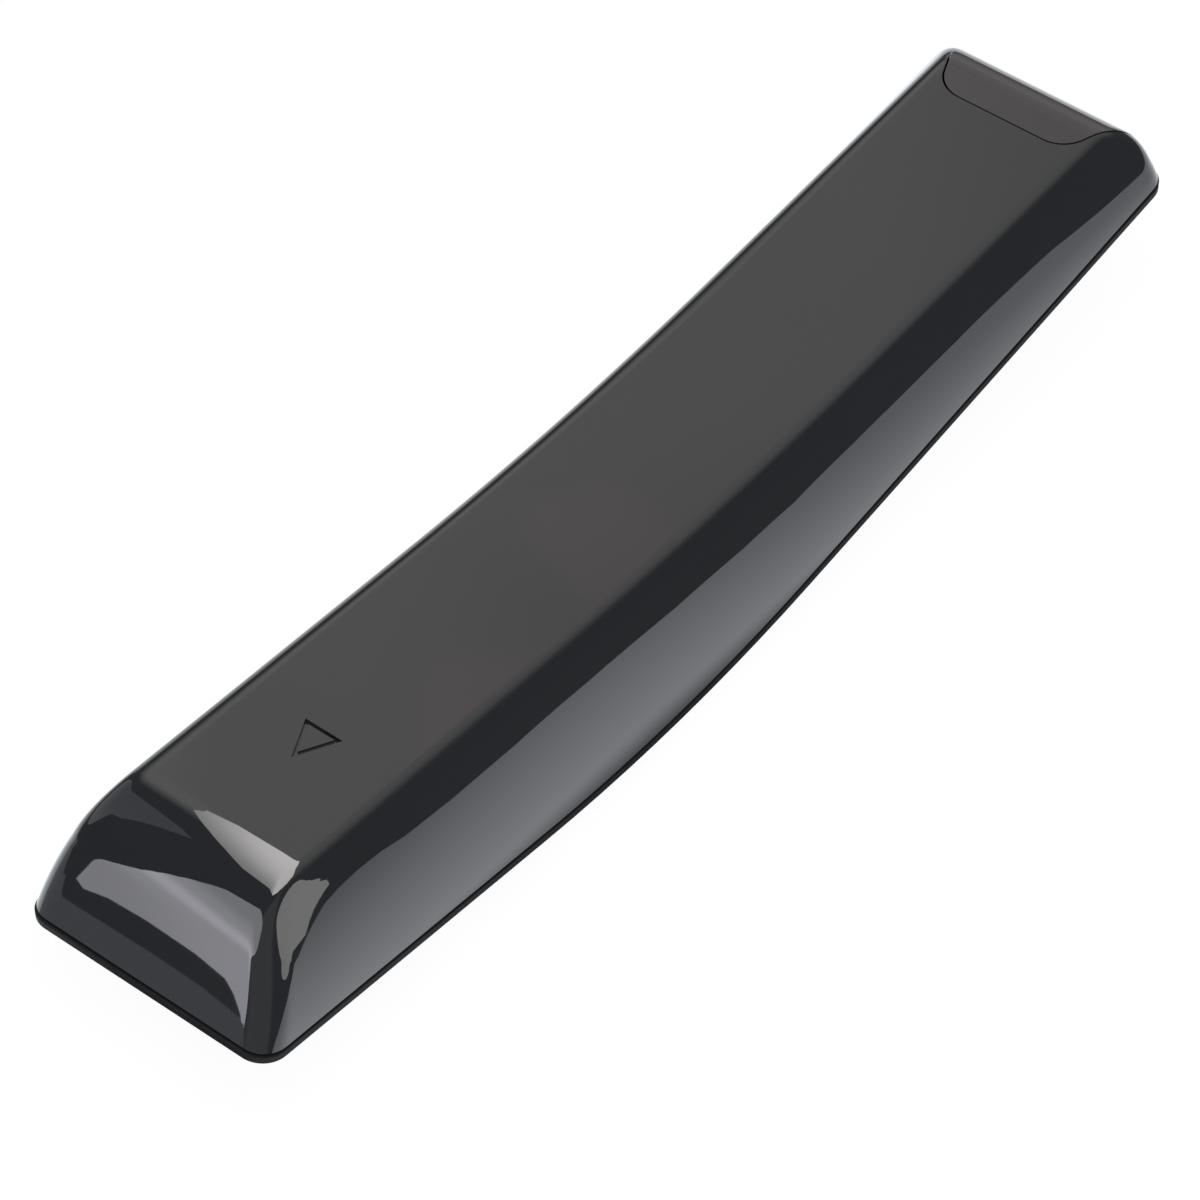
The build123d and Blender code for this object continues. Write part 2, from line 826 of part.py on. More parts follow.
# The leaf contacts stand against the end walls, and their tails run over the frame to the board
leaf_line = bay_half - contact_thickness / 2
tail_level = plate_top + contact_play + contact_thickness / 2
tail_down = board_start + tail_in
leaf_foot = key_plane.to_local_coords(grip_plane.from_local_coords((leaf_line, 0, 0)))
leaf_tip = key_plane.to_local_coords(grip_plane.from_local_coords((leaf_line, 0, 1)))
tail_height = (tail_level - leaf_foot.Z) / (leaf_tip.Z - leaf_foot.Z)
wall_place = leaf_foot.X + (leaf_tip.X - leaf_foot.X) * tail_height + contact_thickness


def spring_bow(towards, y):
    """Bowed leaf that presses on the flat end of a cell, at the bay's end wall on that side."""
    crown = (cell_length + spring_room) / 2 - spring_room + contact_thickness / 2 + 2 * press_gap
    middle = cell_axis
    points = [
        grip_point(towards * leaf_line, leaf_high),
        grip_point(towards * crown, middle + spring_flat / 2),
        grip_point(towards * crown, middle - spring_flat / 2),
        grip_point(towards * (leaf_line - 2 * contact_thickness), 2 * middle - leaf_high),
    ]
    return strip(points, y)


def leaf_and_tail(y):
    """Leaf at the knee end of the bay with a tail that reaches the board."""
    points = [
        grip_point(leaf_line, leaf_high),
        grip_point(leaf_line, tail_height),
        key_point(tail_down, tail_level),
        key_point(tail_down, board_top),
    ]
    return strip(points, y)


def make_plus_contact():
    """Flat leaf that the nub of the right cell touches."""
    return leaf_and_tail(-cell_offset)


def make_minus_contact():
    """Sprung leaf behind the left cell."""
    return (leaf_and_tail(cell_offset) + spring_bow(1, cell_offset)).solids()[0]


def make_link_contact():
    """Plate at the nose end that joins both cells, sprung on the right cell's side."""
    reach = cell_offset + leaf_width / 2
    plate = grip_plane * block(
        (-bay_half, contact_thickness - bay_half), (-reach, reach), (link_low, leaf_high)
    )
    return (plate + spring_bow(-1, -cell_offset)).solids()[0]


def make_bay():
    """Battery bay: two round troughs, end walls and side grooves for the cover's rails."""
    full = (-width, width)
    foot = width / 2 - front_wall - front_inner_bevel - floor_gap
    bay = block((-bay_outer, bay_outer), full, (bay_foot_height, bay_side_height))
    bay += block((-bay_outer, bay_outer), (-foot, foot), (-front_depth, bay_foot_height))
    bay += block((-bay_outer, -bay_half), full, (bay_foot_height, bay_end_height))
    bay += block((bay_half, bay_outer), full, (bay_foot_height, bay_end_height))
    for side in (-1, 1):
        bay -= Pos(0, side * cell_offset, cell_axis) * Rot(0, 90, 0) * Cylinder(trough_radius, 2 * bay_half)
    bay = grip_plane * bay & frame_space
    bay -= bent_slab(-2 * front_depth, front_inner + floor_gap)
    groove = grip_plane * block(
        (-2 * bay_outer, rail_reach - rail_short + slide_gap),
        full,
        (rail_level - slide_gap, rail_level + rail_height + slide_gap),
    )
    return bay - (groove - lofted_slab(cover_wall + rail_depth + slide_gap))


def make_rear_frame():
    """Inner frame: the battery bay, a plate over the board, its skirt and arched ribs."""
    bay = make_bay()
    start = wall_place + bay_wall / 2
    end = board_end - plate_from_board_end
    side = (-board_half, board_half)
    plate = block((start, end), side, (plate_low, plate_top))
    plate += block((board_start, end), side, (board_top, plate_low))
    plate -= block(
        (board_start + skirt_thickness, end),
        (skirt_thickness - board_half, board_half - skirt_thickness),
        (board_top, plate_low),
    )
    ribs = [board_start + place for place in ribs_from_start]
    ribs.append(along_keys(length / 2 - last_rib_from_end))
    for x in ribs:
        plate += block((x - rib_thickness / 2, x + rib_thickness / 2), side, (plate_top, 2 * shell_height))
    for y in (-stringer_offset, stringer_offset):
        across = (y - rib_thickness / 2, y + rib_thickness / 2)
        plate += block((ribs[0], ribs[-1]), across, (plate_top, plate_top + stringer_height))
    hole = screw_radius + screw_hole_play
    for x, y in screw_places:
        plate -= rod(x, y, (plate_low, plate_top), hole)
    x = board_start + capacitor_from_start
    plate -= block(
        (x - capacitor_length / 2 - capacitor_room, x + capacitor_length / 2 + capacitor_room),
        (-capacitor_radius - capacitor_room, capacitor_radius + capacitor_room),
        (plate_low, plate_top),
    )
    frame = bay + (key_plane * plate & frame_space)
    # The contact tails leave the bay through slots and go down through the plate.
    room = contact_thickness / 2 + contact_play
    for y in (-cell_offset, cell_offset):
        across = (y - leaf_width / 2 - contact_play, y + leaf_width / 2 + contact_play)
        slots = block((start - 2 * bay_wall, start + 2 * bay_wall), across, (plate_top, tail_level + room))
        slots += block((tail_down - room, tail_down + room), across, (plate_low, tail_level))
        frame -= key_plane * slots
    return frame.solids().sort_by(SortBy.VOLUME)[-1]


def make_screws():
    """Two pan-head screws with cross slots that hold the frame to the front case."""
    screws = []
    reach = screw_cross / 2
    slot = screw_slot / 2
    for x, y in screw_places:
        screw = rod(x, y, (plate_top - screw_length, plate_top), screw_radius)
        head = rod(x, y, (plate_top, plate_top + screw_head_height), screw_head_radius)
        screw += fillet(head.edges().group_by(Axis.Z)[-1], screw_head_height / 2)
        top = (plate_top + screw_head_height / 2, plate_top + screw_head_height)
        screw -= block((x - reach, x + reach), (y - slot, y + slot), top)
        screw -= block((x - slot, x + slot), (y - reach, y + reach), top)
        screws.append((key_plane * screw).solids()[0])
    return Compound(screws)


pieces = {
    "rear_cover": make_rear_cover(),
    "ir_window": make_ir_window(),
    "front_case": make_front_case(),
    "rear_frame": make_rear_frame(),
    "circuit_board": make_circuit_board(),
    "key_mat": make_key_mat(),
    "dome_contacts": make_dome_contacts(),
    "ir_leds": make_ir_leds(),
    "control_chip": make_control_chip(),
    "crystal": make_crystal(),
    "capacitor": make_capacitor(),
    "chip_parts": make_small_parts(),
    "battery_left": make_cell(cell_offset, -1),
    "battery_right": make_cell(-cell_offset, 1),
    "link_contact": make_link_contact(),
    "plus_contact": make_plus_contact(),
    "minus_contact": make_minus_contact(),
    "case_screws": make_screws(),
    "power_key": make_small_key(first_row, small_key_offset),
    "source_key": make_small_key(first_row, -small_key_offset),
    "mute_key": make_small_key(second_row, small_key_offset),
    "tone_key": make_small_key(second_row, -small_key_offset),
    "nav_ring": make_nav_ring(),
    "ring_collar": make_ring_collar(),
    "play_key": make_play_key(),
    "mode_key": make_mode_key(mode_place, mode_key_offset),
    "pair_key": make_mode_key(mode_place, -mode_key_offset),
    "volume_rocker": make_rocker(rocker_place, rocker_offset),
    "bass_rocker": make_rocker(rocker_place, -rocker_offset),
}

os.makedirs("parts", exist_ok=True)
for name, piece in pieces.items():
    export_step(piece, f"parts/{name}.step")
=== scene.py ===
"""Looks of a soundbar remote control that lies on its keys with its back up.

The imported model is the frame: +X points to the infra-red end, -X to the nose and +Z out of
the back. Sizes are written in millimetres and become metres where a mesh is made.
"""
import logging
from collections.abc import Mapping, Sequence
from dataclasses import dataclass
from enum import Enum
from math import atan2, cos, pi, radians, sin, tan
from typing import Any

import bmesh
import bpy
import numpy as np
from mathutils import Matrix, Vector


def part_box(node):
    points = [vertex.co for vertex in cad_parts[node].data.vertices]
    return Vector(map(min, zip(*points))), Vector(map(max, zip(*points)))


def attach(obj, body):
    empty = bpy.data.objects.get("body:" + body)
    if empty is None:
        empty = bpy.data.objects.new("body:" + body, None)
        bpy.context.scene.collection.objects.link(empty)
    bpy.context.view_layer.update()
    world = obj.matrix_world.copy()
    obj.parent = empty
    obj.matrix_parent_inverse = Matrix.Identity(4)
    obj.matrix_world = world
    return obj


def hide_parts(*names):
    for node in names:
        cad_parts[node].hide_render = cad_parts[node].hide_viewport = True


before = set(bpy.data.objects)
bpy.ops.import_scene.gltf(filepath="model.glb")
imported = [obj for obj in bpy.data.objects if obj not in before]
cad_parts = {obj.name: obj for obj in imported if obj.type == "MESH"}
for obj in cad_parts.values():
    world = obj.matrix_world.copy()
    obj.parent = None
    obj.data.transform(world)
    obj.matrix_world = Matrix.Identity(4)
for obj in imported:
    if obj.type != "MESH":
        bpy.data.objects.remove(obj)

LOG = logging.getLogger("remote")
MM = 0.001
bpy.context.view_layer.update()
# How often the search for the skin along a ray halves its range.
HALVINGS = 34
# The skin's normal is measured over this many millimetres to each side.
PROBE = 0.8
# A point this near to the outer or the inner skin, in millimetres, lies on it.
ON_SKIN = 0.004
ON_INNER_SKIN = 0.05
# How well a face has to agree with the skin's normal to count as skin.
SKIN_AGREEMENT = 0.6
# Points closer than this, in metres, become one.
WELD = 1e-6
PLASTIC_IOR = 1.5
# Sockets of the mixing node that carry colours: two inputs and the output.
FIRST_COLOUR = 6
SECOND_COLOUR = 7
MIXED_COLOUR = 2
DEGREES = 180 / pi


class Body(Enum):
    """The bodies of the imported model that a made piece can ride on."""

    ROOT = "root"
    COVER = "cover"


class Slot(Enum):
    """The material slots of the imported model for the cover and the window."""

    COVER_GLOSS = "cover_gloss"
    WINDOW_DARK = "window_dark"


class Solver(Enum):
    """What a cutter does to a mesh."""

    CUT = "DIFFERENCE"
    KEEP = "INTERSECT"


class Wire:
    """A shader socket that can stand in a Python expression."""

    def __init__(self, graph: "Graph", socket: bpy.types.NodeSocket) -> None:
        """Keeps the socket and the graph that it belongs to."""
        self.graph = graph
        self.socket = socket

    def __add__(self, other: "Wire | float") -> "Wire":
        """The sum."""
        return self.graph.maths("ADD", self, other)

    def __sub__(self, other: "Wire | float") -> "Wire":
        """The difference."""
        return self.graph.maths("SUBTRACT", self, other)

    def __rsub__(self, other: float) -> "Wire":
        """The difference, from a number."""
        return self.graph.maths("SUBTRACT", other, self)

    def __mul__(self, other: "Wire | float") -> "Wire":
        """The product."""
        return self.graph.maths("MULTIPLY", self, other)


@dataclass(frozen=True)
class Graph:
    """A node tree that is written as expressions."""

    tree: bpy.types.NodeTree

    def node(
        self,
        kind: str,
        settings: Mapping[str, Any] | None = None,
        inputs: Mapping[str | int, Any] | None = None,
        output: str | int = 0,
    ) -> Wire:
        """Adds one node.

        Args:
            kind: The node's type name.
            settings: Properties of the node, set before its sockets.
            inputs: A value or a wire for each input, by name or number.
            output: The name or number of the output to hand back.

        Returns:
            The chosen output.
        """
        made = self.tree.nodes.new(kind)
        for name, value in (settings or {}).items():
            setattr(made, name, value)
        for name, value in (inputs or {}).items():
            if isinstance(value, Wire):
                self.tree.links.new(value.socket, made.inputs[name])
            else:
                made.inputs[name].default_value = value
        return Wire(self, made.outputs[output])

    def maths(self, operation: str, first: Wire | float, second: Wire | float) -> Wire:
        """One Math node on two values."""
        return self.node("ShaderNodeMath", {"operation": operation}, {0: first, 1: second})

    def ease(self, value: Wire, start: float, end: float) -> Wire:
        """A soft step.

        Args:
            value: The wire to step on.
            start: The value up to which the result is zero.
            end: The value from which it is one.

        Returns:
            The step, from zero to one.
        """
        settings = {"interpolation_type": "SMOOTHSTEP"}
        inputs = {"Value": value, "From Min": start, "From Max": end}
        return self.node("ShaderNodeMapRange", settings, inputs)

    def between(self, value: Wire, edges: tuple[float, float, float, float]) -> Wire:
        """One between the two middle edges, zero outside the outer two, and soft between."""
        return self.ease(value, edges[0], edges[1]) * (1 - self.ease(value, edges[2], edges[3]))

    def blend(self, share: Wire | float, first: Any, second: Any) -> Wire:
        """A mix of two colours."""
        inputs = {0: share, FIRST_COLOUR: first, SECOND_COLOUR: second}
        return self.node("ShaderNodeMix", {"data_type": "RGBA"}, inputs, output=MIXED_COLOUR)

    def glow(self, colour: Any, level: Wire | float) -> Wire:
        """A light whose level is carried in its colour.

        Args:
            colour: The colour at level one.
            level: What the colour is multiplied by.

        Returns:
            The emission shader.
        """
        inputs = {0: colour, "Scale": level}
        scaled = self.node("ShaderNodeVectorMath", {"operation": "SCALE"}, inputs)
        return self.node("ShaderNodeEmission", None, {"Color": scaled, "Strength": 1.0})

    def place(self) -> Wire:
        """The point on the surface, in metres, which moves with the piece."""
        return self.node("ShaderNodeTexCoord", output="Object")

    def axis(self, name: str, vector: Wire) -> Wire:
        """The part of a vector along X, Y or Z."""
        return self.node("ShaderNodeSeparateXYZ", None, {0: vector}, output=name)

    def noise(self, scale: float, detail: float = 2.0, roughness: float = 0.5) -> Wire:
        """Cloudy noise on the surface, whose scale is in lumps per metre."""
        inputs = {"Vector": self.place(), "Scale": scale, "Detail": detail, "Roughness": roughness}
        return self.node("ShaderNodeTexNoise", None, inputs)

    def relief(self, height: Wire, depth: float) -> Wire:
        """The normal of a surface whose full height is a depth in millimetres."""
        inputs = {"Strength": 1.0, "Distance": depth * MM, "Height": height}
        return self.node("ShaderNodeBump", None, inputs)

    def surface(self, inputs: Mapping[str, Any]) -> None:
        """Makes the one surface shader of a finish and sends it to the output."""
        self.finish(self.node("ShaderNodeBsdfPrincipled", None, inputs))

    def finish(self, surface: Wire) -> None:
        """Sends a shader to the output of a material or of the world.

        Args:
            surface: The shader. A background shader is taken as the world's.
        """
        kind = "ShaderNodeOutputMaterial"
        if any(node.bl_idname == "ShaderNodeBackground" for node in self.tree.nodes):
            kind = "ShaderNodeOutputWorld"
        output = self.tree.nodes.new(kind)
        self.tree.links.new(surface.socket, output.inputs["Surface"])


def new_material(name: str) -> tuple[bpy.types.Material, Graph]:
    """An empty node material.

    Args:
        name: The material's name.

    Returns:
        The material and the graph to write it in.
    """
    material = bpy.data.materials.new(name)
    material.use_nodes = True
    material.node_tree.nodes.clear()
    return material, Graph(material.node_tree)


def tint(red: float, green: float, blue: float) -> tuple[float, float, float, float]:
    """An opaque colour."""
    return (red, green, blue, 1.0)


@dataclass(frozen=True)
class Moulded:
    """A moulded plastic or rubber: colour, gloss, tool texture and faint handling marks."""

    name: str
    colour: tuple[float, float, float]
    roughness: float
    coat: float = 0.0
    coat_roughness: float = 0.03
    grain_scale: float = 2400.0
    grain_depth: float = 0.01
    mottle_scale: float = 60.0
    mottle: float = 0.15
    smudge: float = 0.04
    sheen: float = 0.0
    specular: float = 0.5

    def material(self) -> bpy.types.Material:
        """Builds the node material.

        Returns:
            The material.
        """
        material, graph = new_material(self.name)
        cloud = graph.noise(self.mottle_scale, detail=3.0)
        low = [part * (1 - self.mottle) for part in self.colour]
        high = [part * (1 + self.mottle) for part in self.colour]
        wipe = graph.noise(self.mottle_scale / 2, detail=5.0, roughness=0.7)
        grain = graph.noise(self.grain_scale, detail=4.0, roughness=0.6)
        graph.surface(
            {
                "Base Color": graph.blend(cloud, tint(*low), tint(*high)),
                "Roughness": wipe * self.smudge + (self.roughness - self.smudge / 2),
                "IOR": PLASTIC_IOR,
                "Normal": graph.relief(grain, self.grain_depth),
                "Coat Weight": self.coat,
                "Coat Roughness": self.coat_roughness,
                "Sheen Weight": self.sheen,
                "Specular IOR Level": self.specular,
            }
        )
        return material


@dataclass(frozen=True)
class Metal:
    """A plated or drawn metal with fine scratches."""

    name: str
    colour: tuple[float, float, float]
    roughness: float
    scratch_scale: float = 900.0
    scratch_stretch: float = 0.08
    scratch_depth: float = 0.004
    scratch_roughness: float = 0.15
    tarnish: float = 0.2
    tarnish_scale: float = 180.0

    def material(self) -> bpy.types.Material:
        """Builds the node material.

        Returns:
            The material.
        """
        material, graph = new_material(self.name)
        inputs = {"Vector": graph.place(), "Scale": (self.scratch_stretch, 1.0, 1.0)}
        stretch = graph.node("ShaderNodeMapping", None, inputs)
        inputs = {"Vector": stretch, "Scale": self.scratch_scale, "Detail": 4.0}
        scratches = graph.node("ShaderNodeTexNoise", None, inputs)
        clean = graph.noise(self.tarnish_scale, detail=3.0)
        dark = [part * (1 - self.tarnish) for part in self.colour]
        graph.surface(
            {
                "Base Color": graph.blend(clean, tint(*dark), tint(*self.colour)),
                "Metallic": 1.0,
                "Roughness": scratches * self.scratch_roughness + self.roughness,
                "Normal": graph.relief(scratches, self.scratch_depth),
            }
        )
        return material


@dataclass(frozen=True)
class BoardLaminate:
    """Solder mask over copper tracks on a glass laminate."""

    name: str = "solder_mask"
    mask: tuple[float, float, float] = (0.012, 0.09, 0.03)
    over_copper: tuple[float, float, float] = (0.03, 0.16, 0.05)
    track_pitch: float = 2.54
    track_share: float = 0.55
    track_edge: float = 0.1
    track_height: float = 0.03
    wander: float = 0.8
    wander_scale: float = 120.0
    weave_scale: float = 3000.0
    weave_roughness: float = 0.1
    roughness: float = 0.3

    def material(self) -> bpy.types.Material:
        """Builds the node material.

        Returns:
            The material.
        """
        material, graph = new_material(self.name)
        across = graph.axis("Y", graph.place()) * (2 * pi / (self.track_pitch * MM))
        cells = graph.noise(self.wander_scale, detail=0.0)
        wave = graph.maths("SINE", across, 0.0) + (cells * (2 * self.wander) - self.wander)
        bare = 1 - self.track_share
        track = graph.ease(wave, bare, bare + self.track_edge)
        weave = graph.noise(self.weave_scale)
        graph.surface(
            {
                "Base Color": graph.blend(track, tint(*self.mask), tint(*self.over_copper)),
                "Roughness": weave * self.weave_roughness + self.roughness,
                "Normal": graph.relief(track, self.track_height),
            }
        )
        return material


@dataclass(frozen=True)
class CellJacket:
    """A plain printed sleeve on a cell, with a lighter band near one end."""

    name: str = "cell_sleeve"
    sleeve: tuple[float, float, float] = (0.02, 0.03, 0.07)
    band: tuple[float, float, float] = (0.55, 0.36, 0.12)
    steel: tuple[float, float, float] = (0.6, 0.6, 0.62)
    band_from: float = 9.0
    band_to: float = 17.0
    band_edge: float = 0.15
    can_rim: float = 1.0
    roughness: float = 0.2
    cloud_roughness: float = 0.1
    cloud_scale: float = 300.0
    coat: float = 0.5

    def material(self) -> bpy.types.Material:
        """Builds the node material.

        Returns:
            The material.
        """
        low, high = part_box("battery_left")
        material, graph = new_material(self.name)
        x = graph.axis("X", graph.place())
        start = low.x + self.band_from * MM
        end = low.x + self.band_to * MM
        soft = self.band_edge * MM
        banded = graph.between(x, (start, start + soft, end, end + soft))
        rim = self.can_rim * MM
        bare_low = 1 - graph.ease(x, low.x + rim, low.x + 2 * rim)
        bare_high = graph.ease(x, high.x - 2 * rim, high.x - rim)
        bare = graph.maths("MAXIMUM", bare_low, bare_high)
        cloud = graph.noise(self.cloud_scale, detail=3.0)
        sleeve = graph.blend(banded, tint(*self.sleeve), tint(*self.band))
        graph.surface(
            {
                "Base Color": graph.blend(bare, sleeve, tint(*self.steel)),
                "Metallic": bare,
                "Roughness": cloud * self.cloud_roughness + self.roughness,
                "Coat Weight": self.coat,
            }
        )
        return material


COVER_GLOSS = Moulded(
    "cover_gloss_black",
    (0.0134, 0.0152, 0.0190),
    0.018,
    coat=1.0,
    coat_roughness=0.01,
    grain_scale=400.0,
    grain_depth=0.0002,
    mottle=0.06,
    smudge=0.01,
)
WINDOW_DARK = Moulded(
    "window_smoke",
    (0.0300, 0.0245, 0.0285),
    0.03,
    coat=1.0,
    coat_roughness=0.012,
    grain_scale=400.0,
    grain_depth=0.0002,
    mottle=0.05,
    smudge=0.01,
)
CASE_BLACK = Moulded(
    "case_satin_black", (0.014, 0.0148, 0.0165), 0.6, grain_depth=0.006, specular=0.2
)
FRAME_BLACK = Moulded("frame_matt_black", (0.022, 0.022, 0.023), 0.5, grain_depth=0.012)
MAT_SILICONE = Moulded("mat_grey_silicone", (0.25, 0.25, 0.26), 0.55, grain_depth=0.004, sheen=0.2)
KEY_RUBBER = Moulded(
    "key_soft_black", (0.02, 0.02, 0.021), 0.58, grain_scale=3200.0, grain_depth=0.008, sheen=0.15
)
LED_LENS = Moulded("led_water_clear", (0.32, 0.3, 0.42), 0.08, coat=1.0, grain_depth=0.0005)
CHIP_RESIN = Moulded("chip_black_resin", (0.02, 0.02, 0.02), 0.6, grain_depth=0.01)
CERAMIC = Moulded("ceramic_tan", (0.33, 0.22, 0.13), 0.4, grain_depth=0.003)
SLEEVE = Moulded("capacitor_sleeve_navy", (0.015, 0.02, 0.06), 0.3, coat=0.6, grain_depth=0.002)
DOME_STEEL = Metal("dome_steel", (0.62, 0.6, 0.57), 0.2)
CAN_METAL = Metal("crystal_can", (0.66, 0.65, 0.62), 0.22)
NICKEL = Metal("contact_nickel", (0.67, 0.64, 0.59), 0.18)
SCREW_STEEL = Metal("screw_zinc", (0.5, 0.5, 0.52), 0.25)


def dress(target: bpy.types.Object, material: bpy.types.Material) -> None:
    """Gives a whole object one material.

    Args:
        target: The object. It gets a slot if it has none.
        material: What every slot of it shows.
    """
    if not target.material_slots:
        target.data.materials.append(material)
    for holder in target.material_slots:
        holder.material = material


def put_object(name: str, mesh: bpy.types.Mesh) -> bpy.types.Object:
    """A scene object that shows a mesh.

    Args:
        name: The object's name.
        mesh: What it shows.

    Returns:
        The object, in the scene.
    """
    made = bpy.data.objects.new(name, mesh)
    bpy.context.scene.collection.objects.link(made)
    return made


def mesh_of(name: str, points: np.ndarray, faces: Sequence[Sequence[int]]) -> bpy.types.Mesh:
    """A mesh from points in millimetres.

    Args:
        name: The mesh's name.
        points: One row of three numbers for each point.
        faces: The point numbers round each face.

    Returns:
        The mesh, in metres.
    """
    mesh = bpy.data.meshes.new(name)
    mesh.from_pydata((np.asarray(points) * MM).tolist(), [], faces)
    mesh.validate()
    return mesh


def prism(name: str, plan: np.ndarray, low: float, high: float) -> bpy.types.Object:
    """An upright block over a plan outline.

    Args:
        name: The object's name.
        plan: Corners of the outline, anticlockwise from above, in millimetres.
        low: Height of its underside.
        high: Height of its top.

    Returns:
        The block, as an object.
    """
    count = len(plan)
    lower = np.column_stack([plan, np.full(count, low)])
    upper = np.column_stack([plan, np.full(count, high)])
    walls = [(i, (i + 1) % count, (i + 1) % count + count, i + count) for i in range(count)]
    caps = [tuple(reversed(range(count))), tuple(range(count, 2 * count))]
    return put_object(name, mesh_of(name, np.vstack([lower, upper]), walls + caps))


def combine(target: bpy.types.Object, tool: bpy.types.Object, how: Solver) -> None:
    """Cuts away, or keeps only, what lies inside a second object.

    Args:
        target: The object that is changed.
        tool: The second object, which is removed afterwards.
        how: Whether to cut or to keep.
    """
    change = target.modifiers.new(tool.name, "BOOLEAN")
    change.operation = how.value
    change.solver = "MANIFOLD"
    change.object = tool
    bpy.context.view_layer.update()
    graph = bpy.context.evaluated_depsgraph_get()
    result = bpy.data.meshes.new_from_object(target.evaluated_get(graph))
    target.modifiers.clear()
    target.data = result
    bpy.data.objects.remove(tool)


@dataclass(frozen=True)
class BentLine:
    """A straight, round and straight line, seen from the side, that is lowest at its knee."""

    knee: float
    radius: float
    slope_before: float
    slope_after: float

    def ends(self) -> tuple[float, float]:
        """Where the round stretch is.

        Returns:
            Its start and its end.
        """
        start = self.knee - self.radius * sin(radians(self.slope_before))
        end = self.knee + self.radius * sin(radians(self.slope_after))
        return start, end

    def rise(self, x: np.ndarray) -> np.ndarray:
        """How high the line runs.

        Args:
            x: Places along the body.

        Returns:
            The height above the knee at each place.
        """
        start, end = self.ends()
        across = np.clip(x, start, end) - self.knee
        arc = self.radius - np.sqrt(self.radius**2 - across**2)
        before = np.maximum(start - x, 0.0) * tan(radians(self.slope_before))
        after = np.maximum(x - end, 0.0) * tan(radians(self.slope_after))
        return arc + before + after

    def slope(self, x: np.ndarray) -> np.ndarray:
        """How steep the line is.

        Args:
            x: Places along the body.

        Returns:
            The rise per length at each place.
        """
        start, end = self.ends()
        across = np.clip(x, start, end) - self.knee
        return across / np.sqrt(self.radius**2 - across**2)


def round_over(
    first: np.ndarray, second: np.ndarray, facing: np.ndarray, radius: np.ndarray
) -> tuple[np.ndarray, np.ndarray, np.ndarray]:
    """Rounds the edge where two faces meet.

    Args:
        first: Distance from the first face, negative inside.
        second: Distance from the second face.
        facing: The product of the two faces' normals.
        radius: The edge's radius.

    Returns:
        The distance from the rounded solid, and each face's share of its normal.
    """
    deep_first = first + radius
    deep_second = second + radius
    whole = 1 - facing**2
    part_first = (deep_first - facing * deep_second) / whole
    part_second = (deep_second - facing * deep_first) / whole
    on_edge = (part_first > 0) & (part_second > 0)
    square = part_first * deep_first + part_second * deep_second
    reach = np.sqrt(np.where(on_edge, square, 1.0))
    distance = np.where(on_edge, reach - radius, np.maximum(first, second))
    share_first = np.where(on_edge, part_first / reach, first > second)
    share_second = np.where(on_edge, part_second / reach, first <= second)
    return distance, share_first, share_second


